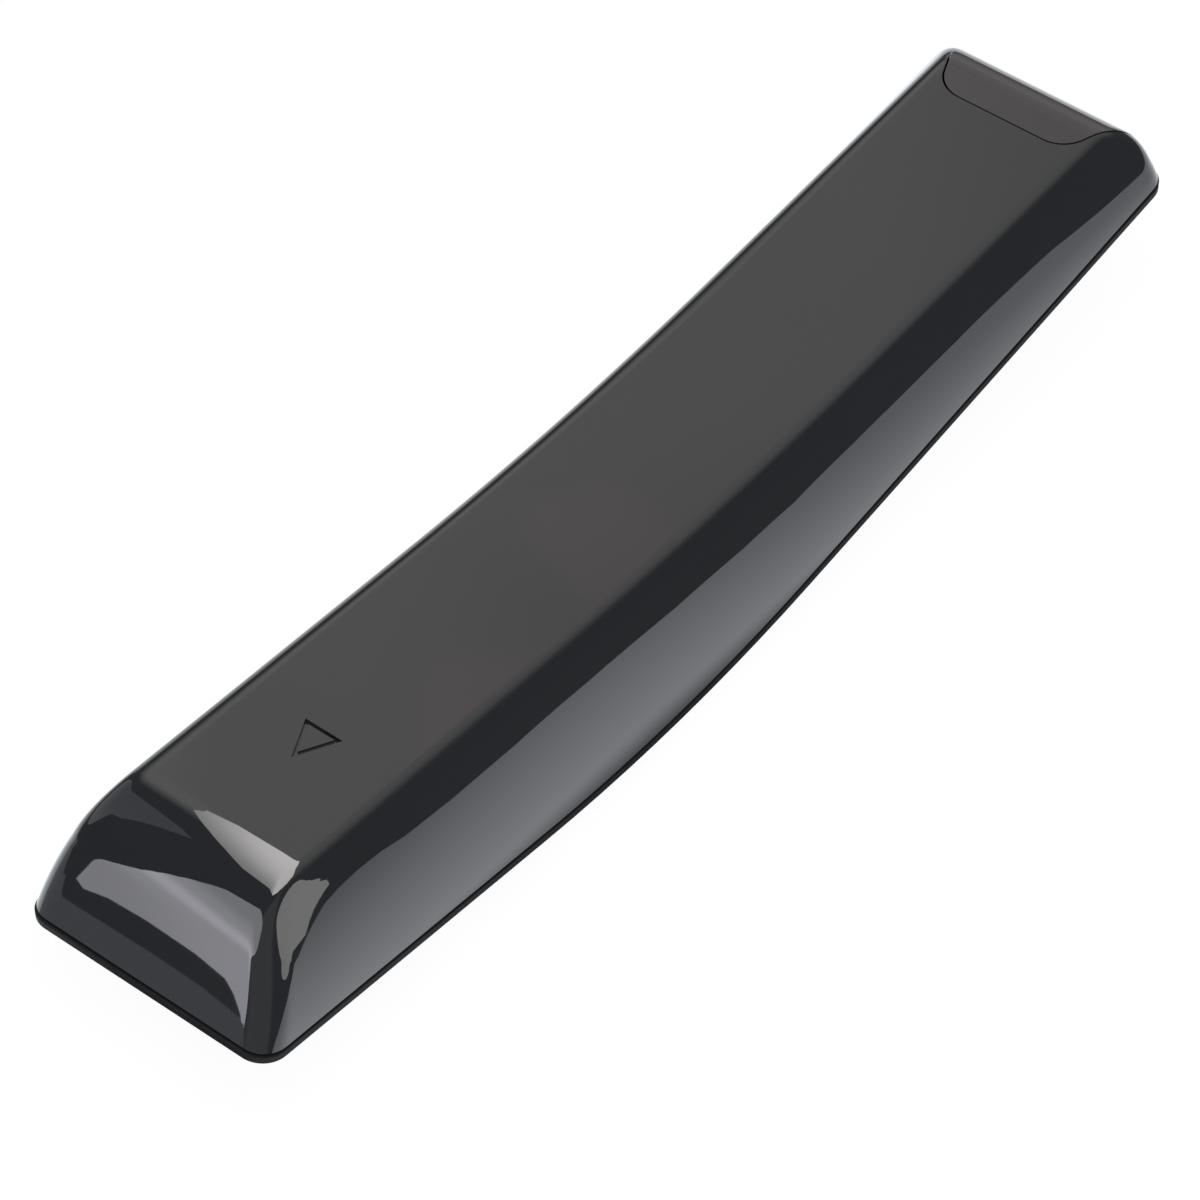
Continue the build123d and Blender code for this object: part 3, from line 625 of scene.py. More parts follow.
@dataclass(frozen=True)
class BodyForm:
    """The outside of the closed remote, in millimetres, as a distance from its skin."""

    length: float = 179.0
    width: float = 37.0
    front_depth: float = 3.0
    shell_height: float = 19.2
    rim: BentLine = BentLine(-15.3, 188.0, 7.41, 8.43)
    back: BentLine = BentLine(7.7, 435.0, 4.22, 3.45)
    side_lean: float = 5.7
    side_bulge: float = 0.95
    nose_lean: float = 8.2
    nose_round: float = 9.8
    tail_lean: float = 2.5
    tail_round: float = 7.5
    shoulder_round: float = 2.6
    corner_round: float = 3.43
    pivot_inset: float = 11.0
    pivot_rise: float = 1.0
    end_turn: float = 0.9
    side_steps: int = 130
    fan_steps: int = 300
    fine_levels: int = 260
    curve_weight: float = 12.0

    def rim_height(self, x: np.ndarray) -> np.ndarray:
        """Height of the rim line."""
        return self.front_depth + self.rim.rise(x)

    def back_height(self, x: np.ndarray) -> np.ndarray:
        """Height of the crown of the back."""
        return self.front_depth + self.shell_height + self.back.rise(x)

    def end_plane(self, x: float, lean: float) -> tuple[float, float, float, float]:
        """A leaning end wall, seen from the side.

        Args:
            x: Where the wall meets the rim line.
            lean: How far it leans inwards at the crown.

        Returns:
            A point of the wall and its outward normal.
        """
        foot = float(self.rim_height(np.array(x)))
        top_x = x - lean if x > 0 else x + lean
        top = float(self.back_height(np.array(top_x)))
        across = abs(lean)
        size = (across**2 + (top - foot) ** 2) ** 0.5
        way = 1.0 if x > 0 else -1.0
        return x, foot, way * (top - foot) / size, across / size

    def profile(self, x: np.ndarray, z: np.ndarray) -> tuple[np.ndarray, np.ndarray, np.ndarray]:
        """The body's side view, with its ends rounded.

        Args:
            x: Places along the body.
            z: Heights there.

        Returns:
            The distance from the side view, and the normal's parts along X and Z.
        """
        slope = self.back.slope(x)
        scale = 1 / np.sqrt(1 + slope**2)
        distance = (z - self.back_height(x)) * scale
        normal_x = -slope * scale
        normal_z = scale
        ends = (
            (-self.length / 2, self.nose_lean, self.nose_round),
            (self.length / 2, self.tail_lean, self.tail_round),
        )
        for place, lean, radius in ends:
            foot_x, foot_z, wall_x, wall_z = self.end_plane(place, lean)
            wall = (x - foot_x) * wall_x + (z - foot_z) * wall_z
            facing = normal_x * wall_x + normal_z * wall_z
            distance, old, new = round_over(distance, wall, facing, np.array(radius))
            normal_x = normal_x * old + wall_x * new
            normal_z = normal_z * old + wall_z * new
        return distance, normal_x, normal_z

    def distance(self, points: np.ndarray) -> np.ndarray:
        """How far points are from the skin.

        Args:
            points: An array whose last axis holds three numbers.

        Returns:
            The distance of each point, negative inside.
        """
        x = points[..., 0]
        y = np.abs(points[..., 1])
        z = points[..., 2]
        seen, normal_x, normal_z = self.profile(x, z)
        low = self.rim_height(x)
        tall = self.back_height(x) - low
        share = (z - low) / tall
        half = self.width / 2 - self.side_lean * share + 4 * self.side_bulge * share * (1 - share)
        lean = (self.side_lean - 4 * self.side_bulge * (1 - 2 * share)) / tall
        scale = 1 / np.sqrt(1 + lean**2)
        wall = (y - half) * scale
        turned = np.clip(np.abs(normal_x) / self.end_turn, 0.0, 1.0)
        radius = self.shoulder_round + (self.corner_round - self.shoulder_round) * turned**2
        return round_over(wall, seen, normal_z * lean * scale, radius)[0]

    def normal(self, points: np.ndarray) -> np.ndarray:
        """Which way the skin faces.

        Args:
            points: An array whose last axis holds three numbers.

        Returns:
            The outward normal near each point.
        """
        parts = []
        for axis in range(3):
            step = np.zeros(3)
            step[axis] = PROBE
            parts.append(self.distance(points + step) - self.distance(points - step))
        slope = np.stack(parts, axis=-1)
        return slope / np.linalg.norm(slope, axis=-1, keepdims=True)

    def rays(self) -> tuple[np.ndarray, np.ndarray]:
        """The rays that find the skin, once round the body, anticlockwise from above.

        Returns:
            Where each ray's pivot is along the body, and the ray's heading.
        """
        reach = self.length / 2 - self.pivot_inset
        along = np.linspace(-reach, reach, self.side_steps, endpoint=False)
        fan = np.linspace(-pi / 2, pi / 2, self.fan_steps, endpoint=False)
        flat = np.full(self.side_steps, pi / 2)
        still = np.full(self.fan_steps, reach)
        places = np.concatenate([along, still, -along, -still])
        headings = np.concatenate([-flat, fan, flat, fan + pi])
        return places, headings

    def rim_ring(self, inset: float, rise: float) -> np.ndarray:
        """The ring of points on the skin at a height above the rim line.

        Args:
            inset: How far inside the outer skin.
            rise: Height above the rim line.

        Returns:
            One point for each ray.
        """
        places, headings = self.rays()
        near = np.zeros(len(places))
        far = np.full(len(places), self.width)
        for _ in range(HALVINGS):
            middle = (near + far) / 2
            inside = self.distance(self.level_points(middle, rise)) + inset < 0
            near = np.where(inside, middle, near)
            far = np.where(inside, far, middle)
        return self.level_points(near, rise)

    def level_points(self, out: np.ndarray, rise: float) -> np.ndarray:
        """Points out from the pivots.

        Args:
            out: The distance out from each pivot.
            rise: The height above the rim line.

        Returns:
            One point for each ray.
        """
        places, headings = self.rays()
        x = places + np.cos(headings) * out
        return np.stack([x, np.sin(headings) * out, self.rim_height(x) + rise], axis=-1)

    def cast(self, climb: np.ndarray, inset: float) -> np.ndarray:
        """Where rays from the pivots meet the skin.

        Args:
            climb: Angle of each ray above the horizon, one row for each pivot.
            inset: How far inside the outer skin.

        Returns:
            One row of points for each pivot.
        """
        places, headings = self.rays()
        level = np.cos(climb)
        toward = np.stack(
            [np.cos(headings)[:, None] * level, np.sin(headings)[:, None] * level, np.sin(climb)],
            axis=-1,
        )
        lift = self.rim_height(places) + self.pivot_rise
        origin = np.stack([places, np.zeros(len(places)), lift], axis=-1)[:, None, :]
        near = np.zeros(climb.shape)
        far = np.full(climb.shape, self.width)
        for _ in range(HALVINGS):
            middle = (near + far) / 2
            inside = self.distance(origin + middle[..., None] * toward) + inset < 0
            near = np.where(inside, middle, near)
            far = np.where(inside, far, middle)
        return origin + near[..., None] * toward

    def skin(self, inset: float, rise: float, levels: int) -> np.ndarray:
        """A grid of points over the skin, closer together where it curves.

        Args:
            inset: How far inside the outer skin.
            rise: Height above the rim line at which the grid starts.
            levels: How many points from the rim to the middle of the back.

        Returns:
            An array of rays by levels by three.
        """
        places, _ = self.rays()
        ring = self.rim_ring(inset, rise)
        lift = self.rim_height(places) + self.pivot_rise
        out = np.hypot(ring[:, 0] - places, ring[:, 1])
        start = np.arctan2(ring[:, 2] - lift, out)
        steps = np.linspace(0.0, 1.0, self.fine_levels)
        climb = start[:, None] + (pi / 2 - start)[:, None] * steps[None, :]
        fine = self.cast(climb, inset)
        turn = self.normal(fine)
        walked = np.linalg.norm(np.diff(fine, axis=1), axis=-1)
        turned = np.linalg.norm(np.diff(turn, axis=1), axis=-1)
        effort = np.cumsum(walked + self.curve_weight * turned, axis=1)
        effort = np.concatenate([np.zeros((len(places), 1)), effort], axis=1)
        wanted = np.linspace(0.0, 1.0, levels)
        chosen = [
            np.interp(wanted * effort[i, -1], effort[i], climb[i]) for i in range(len(places))
        ]
        grid = self.cast(np.array(chosen), inset)
        grid[:, 0, :] = ring
        return grid


def grid_faces(rings: int, levels: int, first: int, outward: bool) -> list[tuple[int, ...]]:
    """Quads of a grid that closes on itself round the body.

    Args:
        rings: How many rays the grid has.
        levels: How many points each ray has.
        first: The number of its first point.
        outward: Whether the quads face out of the body.

    Returns:
        The point numbers round each quad.
    """
    faces = []
    for i in range(rings):
        left = first + i * levels
        right = first + (i + 1) % rings * levels
        for j in range(levels - 1):
            quad = (left + j, right + j, right + j + 1, left + j + 1)
            faces.append(quad if outward else quad[::-1])
    return faces


def strip_faces(lower: Sequence[int], upper: Sequence[int]) -> list[tuple[int, ...]]:
    """Quads between two closed rings.

    Args:
        lower: The point numbers of one ring.
        upper: The point numbers of the other.

    Returns:
        The point numbers round each quad.
    """
    count = len(lower)
    return [
        (lower[i], lower[(i + 1) % count], upper[(i + 1) % count], upper[i]) for i in range(count)
    ]


@dataclass(frozen=True)
class Shell:
    """The whole moulded skin of the back, before the window is split from the cover."""

    form: BodyForm
    wall: float = 1.7
    rim_rise: float = 0.7
    rim_edge: float = 0.15
    outer_levels: int = 84
    inner_levels: int = 24

    def build(self, name: str) -> bpy.types.Object:
        """Makes the closed shell.

        Args:
            name: The object's name.

        Returns:
            The shell, open underneath, as an object.
        """
        outer = self.form.skin(0.0, self.rim_rise + self.rim_edge, self.outer_levels)
        inner = self.form.skin(self.wall, self.rim_rise, self.inner_levels)
        lip = self.form.rim_ring(self.rim_edge, self.rim_rise)
        rays = len(lip)
        lip_first = rays * self.outer_levels
        inner_first = lip_first + rays
        outer_ring = [i * self.outer_levels for i in range(rays)]
        lip_ring = [lip_first + i for i in range(rays)]
        inner_ring = [inner_first + i * self.inner_levels for i in range(rays)]
        points = np.vstack([outer.reshape(-1, 3), lip, inner.reshape(-1, 3)])
        faces = grid_faces(rays, self.outer_levels, 0, True)
        faces += grid_faces(rays, self.inner_levels, inner_first, False)
        faces += strip_faces(lip_ring, outer_ring)
        faces += strip_faces(inner_ring, lip_ring)
        mesh = mesh_of(name, points, faces)
        work = bmesh.new()
        work.from_mesh(mesh)
        bmesh.ops.remove_doubles(work, verts=work.verts, dist=WELD)
        work.to_mesh(mesh)
        work.free()
        return put_object(name, mesh)

    def smooth(self, piece: bpy.types.Object) -> None:
        """Shades the skin by the form's own normals, and cut faces flat.

        Args:
            piece: The cut shell.
        """
        mesh = piece.data
        count = len(mesh.vertices)
        points = np.zeros(count * 3)
        mesh.vertices.foreach_get("co", points)
        points = points.reshape(-1, 3) / MM
        away = self.form.distance(points)
        grown = self.form.normal(points)
        corner_points = np.zeros(len(mesh.loops), dtype=np.int64)
        mesh.loops.foreach_get("vertex_index", corner_points)
        flat = np.zeros(len(mesh.polygons) * 3)
        mesh.polygons.foreach_get("normal", flat)
        sizes = np.zeros(len(mesh.polygons), dtype=np.int64)
        mesh.polygons.foreach_get("loop_total", sizes)
        own = np.repeat(flat.reshape(-1, 3), sizes, axis=0)
        lean = np.einsum("ij,ij->i", own, grown[corner_points])
        depth = away[corner_points]
        outside = (np.abs(depth) < ON_SKIN) & (lean > SKIN_AGREEMENT)
        inside = (np.abs(depth + self.wall) < ON_INNER_SKIN) & (lean < -SKIN_AGREEMENT)
        normals = np.where(outside[:, None], grown[corner_points], own)
        normals = np.where(inside[:, None], -grown[corner_points], normals)
        mesh.shade_smooth()
        mesh.normals_split_custom_set(normals.tolist())


@dataclass(frozen=True)
class WindowOutline:
    """The plan of the infra-red window: a tongue that flares to the end wall."""

    start: float = 76.8
    half_width: float = 9.9
    corner: float = 4.6
    flare: float = 0.4
    far: float = 110.0
    arc_steps: int = 14

    def plan(self, gap: float) -> np.ndarray:
        """Corners of the outline, anticlockwise from above.

        Args:
            gap: How far inside the notch.

        Returns:
            One row of two numbers for each corner.
        """
        start = self.start + gap
        half = self.half_width - gap
        spread = half + (self.far - start) * self.flare
        turn = pi / 2 - atan2(self.flare, 1.0)
        back_off = self.corner * tan(turn / 2)
        centre = np.array([start + self.corner, half - back_off])
        angles = np.linspace(pi, pi - turn, self.arc_steps)
        arc = centre + self.corner * np.column_stack([np.cos(angles), np.sin(angles)])
        upper = np.vstack([arc, [[self.far, spread]]])
        lower = upper[::-1] * np.array([1.0, -1.0])
        return np.vstack([lower, upper])[::-1]


@dataclass(frozen=True)
class ArrowMark:
    """A triangle of straight grooves that points the way the cover slides."""

    base: float = -56.6
    long: float = 4.95
    half_width: float = 2.4
    side: float = 0.3
    line: float = 0.5
    depth: float = 0.45
    proud: float = 1.0

    def ring(self, shift: float) -> np.ndarray:
        """The triangle with its sides moved outwards.

        Args:
            shift: How far they are moved.

        Returns:
            One row of two numbers for each corner.
        """
        hook = (self.half_width**2 + self.long**2) ** 0.5
        base = self.base + shift
        tip = self.base - self.long - shift * hook / self.half_width
        half = self.half_width * (base - tip) / self.long
        return np.array([[base, self.side + half], [tip, self.side], [base, self.side - half]])

    def cutter(self, form: BodyForm) -> bpy.types.Object:
        """The block that cuts the grooves.

        Args:
            form: The outside that the arrow is cut into.

        Returns:
            The block, whose top and floor follow the back.
        """
        outer = self.ring(self.line / 2)
        inner = self.ring(-self.line / 2)
        corners = len(outer)
        top = 2 * corners
        plan = np.vstack([outer, inner])
        crown = form.back_height(plan[:, 0])
        low = np.column_stack([plan, crown - self.depth])
        high = np.column_stack([plan, crown + self.proud])
        points = np.vstack([low, high])
        faces = []
        for i in range(corners):
            j = (i + 1) % corners
            inner_i = i + corners
            inner_j = j + corners
            faces.append((i, j, j + top, i + top))
            faces.append((inner_j, inner_i, inner_i + top, inner_j + top))
            faces.append((j, i, inner_i, inner_j))
            faces.append((i + top, j + top, inner_j + top, inner_i + top))
        return put_object("arrow_cutter", mesh_of("arrow_cutter", points, faces))


@dataclass(frozen=True)
class GlossBack:
    """The sliding cover and the infra-red window that closes its notch."""

    form: BodyForm
    shell: Shell
    outline: WindowOutline
    arrow: ArrowMark
    seam: float = 0.2

    def build(self) -> None:
        """Makes, cuts, shades and seats both pieces."""
        whole = self.shell.build("cover_shell")
        window = whole.copy()
        window.data = whole.data.copy()
        bpy.context.scene.collection.objects.link(window)
        window.name = "ir_window_lens"
        top = 3 * self.form.shell_height
        notch = prism("notch_cutter", self.outline.plan(0.0), -top, top)
        combine(whole, notch, Solver.CUT)
        combine(whole, self.arrow.cutter(self.form), Solver.CUT)
        tongue = prism("tongue_keeper", self.outline.plan(self.seam), -top, top)
        combine(window, tongue, Solver.KEEP)
        for piece in (whole, window):
            self.shell.smooth(piece)
        dress(whole, COVER_GLOSS.material())
        dress(window, WINDOW_DARK.material())
        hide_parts("rear_cover")
        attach(whole, Body.COVER.value)
        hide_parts("ir_window")
        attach(window, Body.ROOT.value)
        LOG.info("cover shell: %d faces", len(whole.data.polygons))
        LOG.info("window lens: %d faces", len(window.data.polygons))


@dataclass(frozen=True)
class CarriedParts:
    """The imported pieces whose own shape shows, each with the finish of its real material."""

    def build(self) -> None:
        """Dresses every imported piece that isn't replaced."""
        case = CASE_BLACK.material()
        keys = KEY_RUBBER.material()
        nickel = NICKEL.material()
        cells = CellJacket().material()
        inner = FRAME_BLACK.material()
        finishes = {
            "front_case": case,
            "rear_frame": inner,
            "ring_collar": inner,
            "circuit_board": BoardLaminate().material(),
            "key_mat": MAT_SILICONE.material(),
            "dome_contacts": DOME_STEEL.material(),
            "ir_leds": LED_LENS.material(),
            "control_chip": CHIP_RESIN.material(),
            "crystal": CAN_METAL.material(),
            "capacitor": SLEEVE.material(),
            "chip_parts": CERAMIC.material(),
            "battery_left": cells,
            "battery_right": cells,
            "plus_contact": nickel,
            "minus_contact": nickel,
            "link_contact": nickel,
            "case_screws": SCREW_STEEL.material(),
        }
        for name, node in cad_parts.items():
            if name in ("rear_cover", "ir_window"):
                continue
            dress(node, finishes.get(name, keys))
            LOG.info("dressed %s", name)


def soften(outline: Sequence[Sequence[float]], cut: float = 0.25) -> np.ndarray:
    """Cuts the corners of a closed outline.

    Args:
        outline: Its corners.
        cut: The share of each side that a cut takes.

    Returns:
        One row of two numbers for each new corner.
    """
    points = np.array(outline)
    following = np.roll(points, -1, axis=0)
    pairs = [(1 - cut) * points + cut * following, cut * points + (1 - cut) * following]
    return np.stack(pairs, axis=1).reshape(-1, 2)


def flat_light(name: str, outline: Sequence[Sequence[float]]) -> bpy.types.Object:
    """A flat sheet at height zero with softened corners.

    Args:
        name: The object's name.
        outline: Its corners, in millimetres.

    Returns:
        The sheet, as an object.
    """
    plan = soften(outline)
    points = np.column_stack([plan, np.zeros(len(plan))])
    return put_object(name, mesh_of(name, points, [tuple(range(len(plan)))]))


def only_reflected(piece: bpy.types.Object) -> None:
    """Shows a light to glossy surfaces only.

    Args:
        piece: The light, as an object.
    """
    piece.visible_camera = False
    piece.visible_diffuse = False
    piece.visible_transmission = False
    piece.visible_volume_scatter = False
    piece.visible_shadow = False


@dataclass(frozen=True)
class SoftBox:
    """A flat light that faces one end of the remote and shows only as a reflection.

    Its outline is measured in its own plane: the first number grows to the left as it is
    seen from the remote, and the second grows upwards. Its levels lie along a line in that
    plane that is slanted from the first direction towards the second.
    """

    name: str
    focus: tuple[float, float, float]
    azimuth: float
    elevation: float
    reach: float
    outline: tuple[tuple[float, float], ...]
    colour: tuple[float, float, float]
    levels: tuple[tuple[float, float], ...]
    slant: float = 90.0

    def build(self) -> None:
        """Makes the light and hangs it in its place."""
        light = flat_light(self.name, self.outline)
        turn = radians(self.azimuth)
        climb = radians(self.elevation)
        toward = Vector((cos(turn) * cos(climb), sin(turn) * cos(climb), sin(climb)))
        left = Vector((-sin(turn), cos(turn), 0.0))
        up = toward.cross(left)
        place = (Vector(self.focus) + toward * self.reach) * MM
        axes = Matrix((left, up, toward)).transposed().to_4x4()
        light.matrix_world = Matrix.Translation(place) @ axes
        dress(light, self.material())
        only_reflected(light)

    def material(self) -> bpy.types.Material:
        """A glow that changes from level to level along the slanted line.

        Returns:
            The material.
        """
        material, graph = new_material(self.name)
        x, y = (graph.axis(name, graph.place()) for name in "XY")
        along = x * cos(radians(self.slant)) + y * sin(radians(self.slant))
        level: Wire | float = self.levels[0][1]
        for (start, low), (end, high) in zip(self.levels, self.levels[1:]):
            level = graph.ease(along, start * MM, end * MM) * (high - low) + level
        graph.finish(graph.glow(self.colour, level))
        return material


BIG_BOX = SoftBox(
    name="nose_big_box",
    focus=(-84.0, 0.0, 20.0),
    azimuth=152.0,
    elevation=8.0,
    reach=100.0,
    outline=(
        (-12, -29), (-11, -25), (-7, -8), (-5, 15), (-8, 52), (-18, 98), (5, 90), (40, 82),
        (53, 42), (50, 4), (20, -25), (19, -37), (15, -32), (11, -29.5), (-5, -28),
    ),
    colour=(0.98, 0.98, 1.06),
    levels=((-24.0, 1.78), (-6.0, 2.3), (7.0, 3.35), (8.5, 3.35), (20.0, 2.4), (36.0, 1.78)),
    slant=37.6,
)
HIGH_BOX = SoftBox(
    name="nose_high_box",
    focus=(-77.0, -4.0, 27.0),
    azimuth=75.0,
    elevation=62.0,
    reach=90.0,
    outline=((-36, -25), (-46, -20), (-54, -2), (-40, 52), (29, 36), (21, 9), (-4, -4)),
    colour=(1.03, 1.0, 0.99),
    levels=((-3.0, 1.9), (14.5, 4.5)),
    slant=124.0,
)
SLIM_BOX = SoftBox(
    name="corner_slim_box",
    focus=(-78.0, -14.0, 23.0),
    azimuth=-75.0,
    elevation=20.0,
    reach=100.0,
    outline=(
        (46, 84), (34, -5), (34.5, -46), (38, -57), (36, -59.5), (34, -65), (33, -78),
        (22, -84), (-20, -58), (-42, -42), (-52, 2), (-62, 62), (-44, 90), (0, 106),
    ),
    colour=(1.02, 1.0, 0.985),
    levels=((-90.0, 1.35), (0.0, 1.68)),
)
DIM_BOX = SoftBox(
    name="nose_dim_box",
    focus=(-79.0, 7.0, 26.0),
    azimuth=115.0,
    elevation=58.0,
    reach=90.0,
    outline=(
        (31, -62), (28, -23), (-1, 5), (-12, 15), (-30, 10), (-70, -10), (-110, -70),
        (-60, -120), (0, -120),
    ),
    colour=(1.0, 1.0, 1.04),
    levels=((-60.0, 0.53), (15.0, 0.36)),
)


@dataclass(frozen=True)
class TableGlow:
    """The part of the bright table that the remote mirrors, brighter close to it.

    The strip right beside the remote lies in its shade.
    """

    name: str = "table_glow"
    outline: tuple[tuple[float, float], ...] = (
        (-106, 110), (-106, 20), (-100, -15), (-107, -70), (-78, -72), (-63, -54), (-54, -61),
        (-35, -85), (-20, -103), (-13, -101), (-17, -79), (0, -65), (32, -65), (62, -84),
        (146, -172), (185, -222), (290, -350), (236, -262), (190, -178), (212, -184),
        (232, -130), (420, -130), (420, 400), (-100, 400),
    )
    colour: tuple[float, float, float] = (0.965, 1.0, 1.045)
    near_level: float = 1.19
    far_level: float = 0.66
    near: float = 10.0
    far: float = 105.0
    half_length: float = 80.0
    shade: tuple[float, float] = (19.0, 27.0)
    tail_level: float = 0.87
    tail_share: float = 0.55
    tail_reach: float = 70.0

    def build(self) -> None:
        """Makes the sheet and its glow."""
        sheet = flat_light(self.name, self.outline)
        material, graph = new_material(self.name)
        x, y = (graph.axis(name, graph.place()) for name in "XY")
        past = graph.maths("ABSOLUTE", x, 0.0) - self.half_length * MM
        past = graph.maths("MAXIMUM", past, 0.0)
        away = graph.maths("SQRT", past * past + y * y, 0.0)
        fall = graph.ease(away, self.near * MM, self.far * MM)
        level = fall * (self.far_level - self.near_level) + self.near_level
        even = graph.ease(x, 0.0, self.tail_reach * MM) * self.tail_share
        level = level + (self.tail_level - level) * even
        level = level * graph.ease(away, self.shade[0] * MM, self.shade[1] * MM)
        graph.finish(graph.glow(self.colour, level))
        dress(sheet, material)
        only_reflected(sheet)


NOSE_GLOW = TableGlow(
    name="nose_table_glow",
    outline=((-106, 110), (-150, 125), (-184, 100), (-192, 60), (-190, 40), (-170, 15), (-106, 10)),
    colour=(0.95, 1.0, 1.07),
    near_level=0.36,
    far_level=0.36,
)


@dataclass(frozen=True)
class Room:
    """A dark room that glossy surfaces mirror, with one broad light and softer walls.

    Its lights are placed by their direction from the remote: degrees from +X towards +Y, and
    degrees above the horizon.
    """

    radius: float = 3.0
    columns: int = 96
    rows: int = 64
    dark: float = 0.085
    top_level: float = 0.64
    top_colour: tuple[float, float, float] = (1.02, 1.0, 0.955)
    top_warm: tuple[float, float, float] = (1.19, 1.04, 1.04)
    warm_heights: tuple[float, float, float, float] = (41.4, 42.8, 43.6, 45.2)
    warm_turns: tuple[float, float, float, float] = (20.0, 30.0, 36.6, 38.0)
    top_foot: tuple[float, float] = (20.0, 34.0)
    rise: tuple[float, float] = (-35.0, 32.0)
    edge: tuple[float, float] = (33.0, 39.0)
    edge_share: float = 0.21
    fall: tuple[float, float] = (46.0, 60.0)
    rim_light: float = 0.12
    rim_turns: tuple[float, float, float, float] = (41.0, 43.0, 46.0, 50.0)
    tail_level: float = 0.42
    tail_turns: tuple[float, float, float, float] = (5.0, 18.0, 38.0, 46.0)
    tail_heights: tuple[float, float, float, float] = (-6.0, 22.0, 34.0, 42.0)
    far_level: float = 0.7
    far_turns: tuple[float, float, float, float] = (44.0, 54.0, 60.0, 66.0)
    far_heights: tuple[float, float] = (-4.0, 16.0)
    back_level: float = 0.17
    back_turns: tuple[float, float, float, float] = (-135.0, -120.0, 152.0, 164.0)

    def build(self) -> None:
        """Makes the sphere and its glow."""
        work = bmesh.new()
        bmesh.ops.create_uvsphere(
            work, u_segments=self.columns, v_segments=self.rows, radius=self.radius
        )
        mesh = bpy.data.meshes.new("room")
        work.to_mesh(mesh)
        work.free()
        sphere = put_object("room", mesh)
        dress(sphere, self.material())
        only_reflected(sphere)

    def material(self) -> bpy.types.Material:
        """The glow of the room's walls, by direction.

        Returns:
            The material.
        """
        material, graph = new_material("room_light")
        way = graph.node("ShaderNodeVectorMath", {"operation": "NORMALIZE"}, {0: graph.place()})
        x, y, z = (graph.axis(name, way) for name in "XYZ")
        turn = graph.maths("ARCTAN2", y, x) * DEGREES
        height = graph.maths("ARCSINE", z, 0.0) * DEGREES
        span = self.top_level - self.dark
        top = graph.ease(turn, *self.rise) * (span * (1 - self.edge_share))
        top = top + graph.ease(turn, *self.edge) * (span * self.edge_share)
        top = top - graph.ease(turn, *self.fall) * span
        top = top + graph.between(turn, self.rim_turns) * self.rim_light
        top = top * graph.ease(height, *self.top_foot)
        low = graph.between(height, self.tail_heights)
        tail = graph.between(turn, self.tail_turns) * low * self.tail_level
        low = 1 - graph.ease(height, *self.far_heights)
        far = graph.between(turn, self.far_turns) * low * self.far_level
        back = graph.ease(turn, *self.back_turns[2:]) - graph.ease(turn, *self.back_turns[:2])
        back = (back + 1) * self.back_level
        level = graph.maths("MAXIMUM", graph.maths("MAXIMUM", top, tail), far)
        level = level + back + self.dark
        warm = graph.between(height, self.warm_heights) * graph.between(turn, self.warm_turns)
        colour = graph.blend(warm, tint(*self.top_colour), tint(*self.top_warm))
        graph.finish(graph.glow(colour, level))
        return material


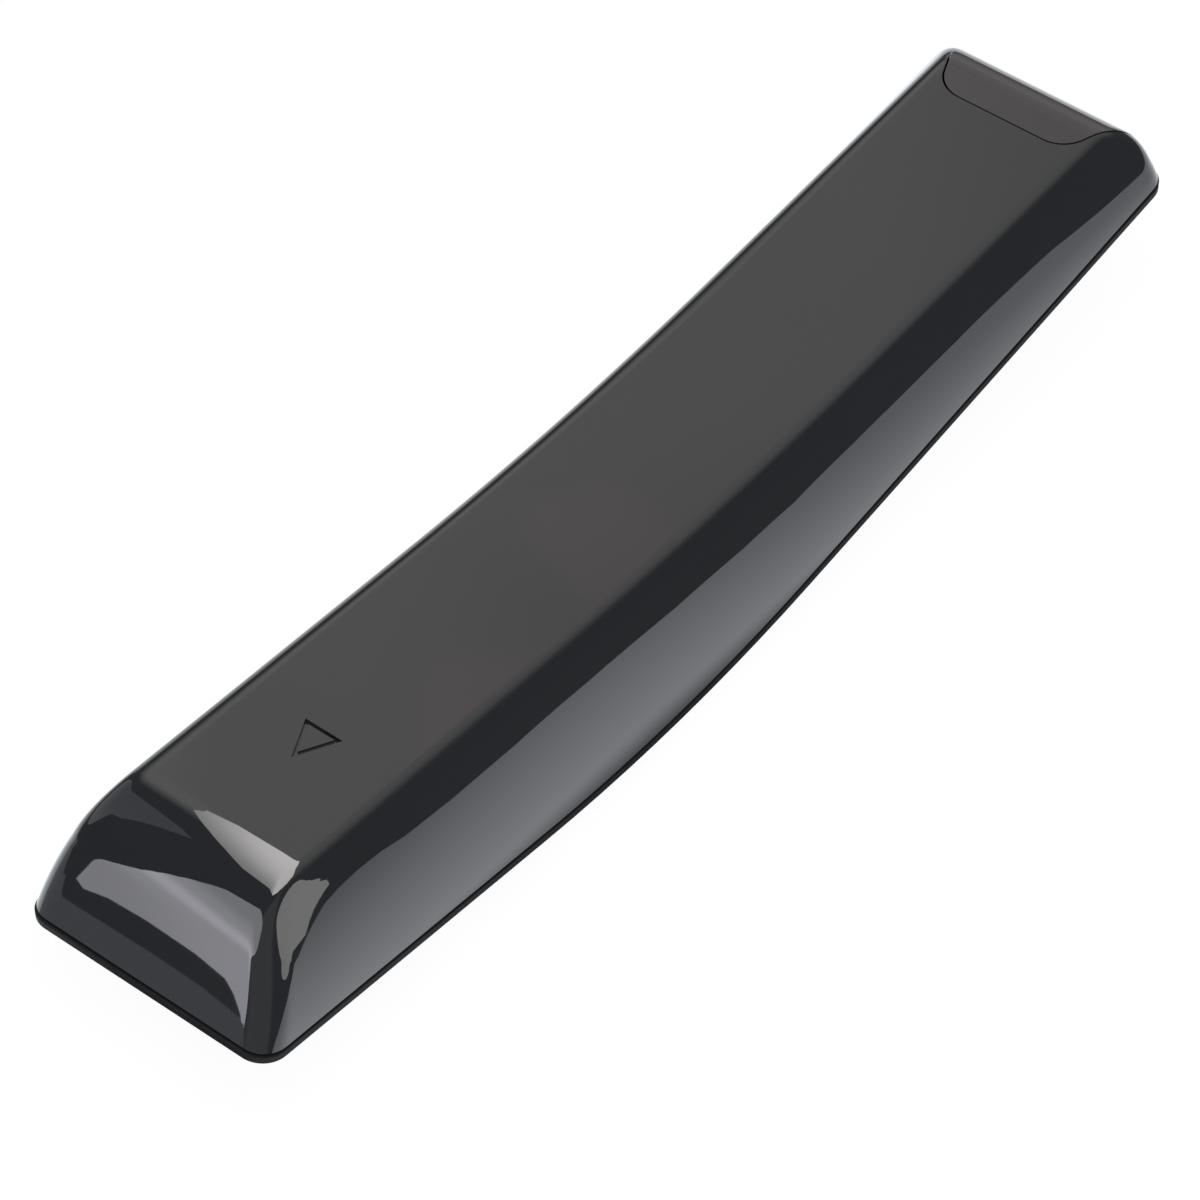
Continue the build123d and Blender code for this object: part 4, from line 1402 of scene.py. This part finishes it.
@dataclass(frozen=True)
class Studio:
    """A white table, the lights that the gloss mirrors, a soft lamp and the camera."""

    floor_radius: float = 0.5
    floor_steps: int = 96
    floor_level: float = 1.02
    floor_white: float = 0.85
    world_level: float = 0.5
    sun_level: float = 1.5
    sun_spread: float = 60.0
    sun_tilt: tuple[float, float] = (18.0, -12.0)
    shadow_share: float = 0.06
    azimuth: float = -50.953
    elevation: float = 47.324
    roll: float = -0.764
    shift_right: float = -3.784
    shift_up: float = -9.004
    reach: float = 609.4
    focal_pixels: float = 4975.4
    image_pixels: float = 1200.0
    aim_height: float = 13.0
    sensor_width: float = 36.0
    near_clip: float = 0.01

    def build(self) -> None:
        """Sets the world, the floor, the lights, the lamp and the camera."""
        self.world()
        self.floor()
        Room().build()
        TableGlow().build()
        NOSE_GLOW.build()
        for box in (BIG_BOX, HIGH_BOX, SLIM_BOX, DIM_BOX):
            box.build()
        self.lamp()
        self.camera()

    def seen(self, graph: Graph) -> Wire:
        """Which rays show a white background.

        Args:
            graph: The graph that asks.

        Returns:
            One for such rays, else zero.
        """
        kind = "ShaderNodeLightPath"
        direct = graph.node(kind, output="Is Camera Ray")
        glossy = graph.node(kind, output="Is Glossy Ray")
        passed = graph.node(kind, output="Is Transmission Ray")
        return graph.maths("MINIMUM", direct + glossy + passed, 1.0)

    def world(self) -> None:
        """White where it is seen, plain where it lights."""
        world = bpy.data.worlds.new("studio_world")
        bpy.context.scene.world = world
        world.use_nodes = True
        world.node_tree.nodes.clear()
        graph = Graph(world.node_tree)
        plain = tint(self.world_level, self.world_level, self.world_level)
        colour = graph.blend(self.seen(graph), plain, tint(1.0, 1.0, 1.0))
        inputs = {"Color": colour, "Strength": 1.0}
        graph.finish(graph.node("ShaderNodeBackground", None, inputs))

    def floor(self) -> None:
        """A round white table that keeps a faint shadow."""
        angles = np.linspace(0.0, 2 * pi, self.floor_steps, endpoint=False)
        points = np.column_stack([np.cos(angles), np.sin(angles), np.zeros(self.floor_steps)])
        points *= self.floor_radius / MM
        table = put_object("table", mesh_of("table", points, [tuple(range(self.floor_steps))]))
        material, graph = new_material("table_white")
        white = tint(self.floor_white, self.floor_white, self.floor_white)
        matt = graph.node("ShaderNodeBsdfDiffuse", None, {"Color": white})
        inputs = {"Color": tint(1.0, 1.0, 1.0), "Strength": self.floor_level}
        glow = graph.node("ShaderNodeEmission", None, inputs)
        share = self.seen(graph) * (1 - self.shadow_share)
        graph.finish(graph.node("ShaderNodeMixShader", None, {0: share, 1: matt, 2: glow}))
        dress(table, material)
        table.visible_glossy = False

    def lamp(self) -> None:
        """One soft lamp from above that leaves no highlight."""
        light = bpy.data.lights.new("soft_lamp", "SUN")
        light.energy = self.sun_level
        light.angle = radians(self.sun_spread)
        holder = bpy.data.objects.new("soft_lamp", light)
        holder.rotation_euler = (radians(self.sun_tilt[0]), radians(self.sun_tilt[1]), 0.0)
        holder.visible_glossy = False
        bpy.context.scene.collection.objects.link(holder)

    def camera(self) -> None:
        """The photograph's viewpoint."""
        azimuth = radians(self.azimuth)
        climb = radians(self.elevation)
        roll = radians(self.roll)
        back = Vector((sin(azimuth) * cos(climb), -cos(azimuth) * cos(climb), sin(climb)))
        level = Vector((cos(azimuth), sin(azimuth), 0.0))
        upright = back.cross(level)
        right = level * cos(roll) + upright * sin(roll)
        up = upright * cos(roll) - level * sin(roll)
        aim = Vector((0.0, 0.0, self.aim_height))
        place = aim + right * self.shift_right + up * self.shift_up + back * self.reach
        data = bpy.data.cameras.new("camera")
        data.sensor_width = self.sensor_width
        data.lens = self.focal_pixels / self.image_pixels * data.sensor_width
        data.clip_start = self.near_clip
        camera = bpy.data.objects.new("camera", data)
        turn = Matrix((right, up, back)).transposed().to_4x4()
        camera.matrix_world = Matrix.Translation(place * MM) @ turn
        bpy.context.scene.collection.objects.link(camera)
        bpy.context.scene.camera = camera


def main() -> None:
    """Builds the looks in order."""
    logging.basicConfig(level=logging.INFO, format="%(name)s: %(message)s")
    bpy.context.scene.view_settings.view_transform = "Standard"
    form = BodyForm()
    shell = Shell(form)
    GlossBack(form, shell, WindowOutline(), ArrowMark()).build()
    CarriedParts().build()
    Studio().build()


if __name__ == "__main__":
    main()
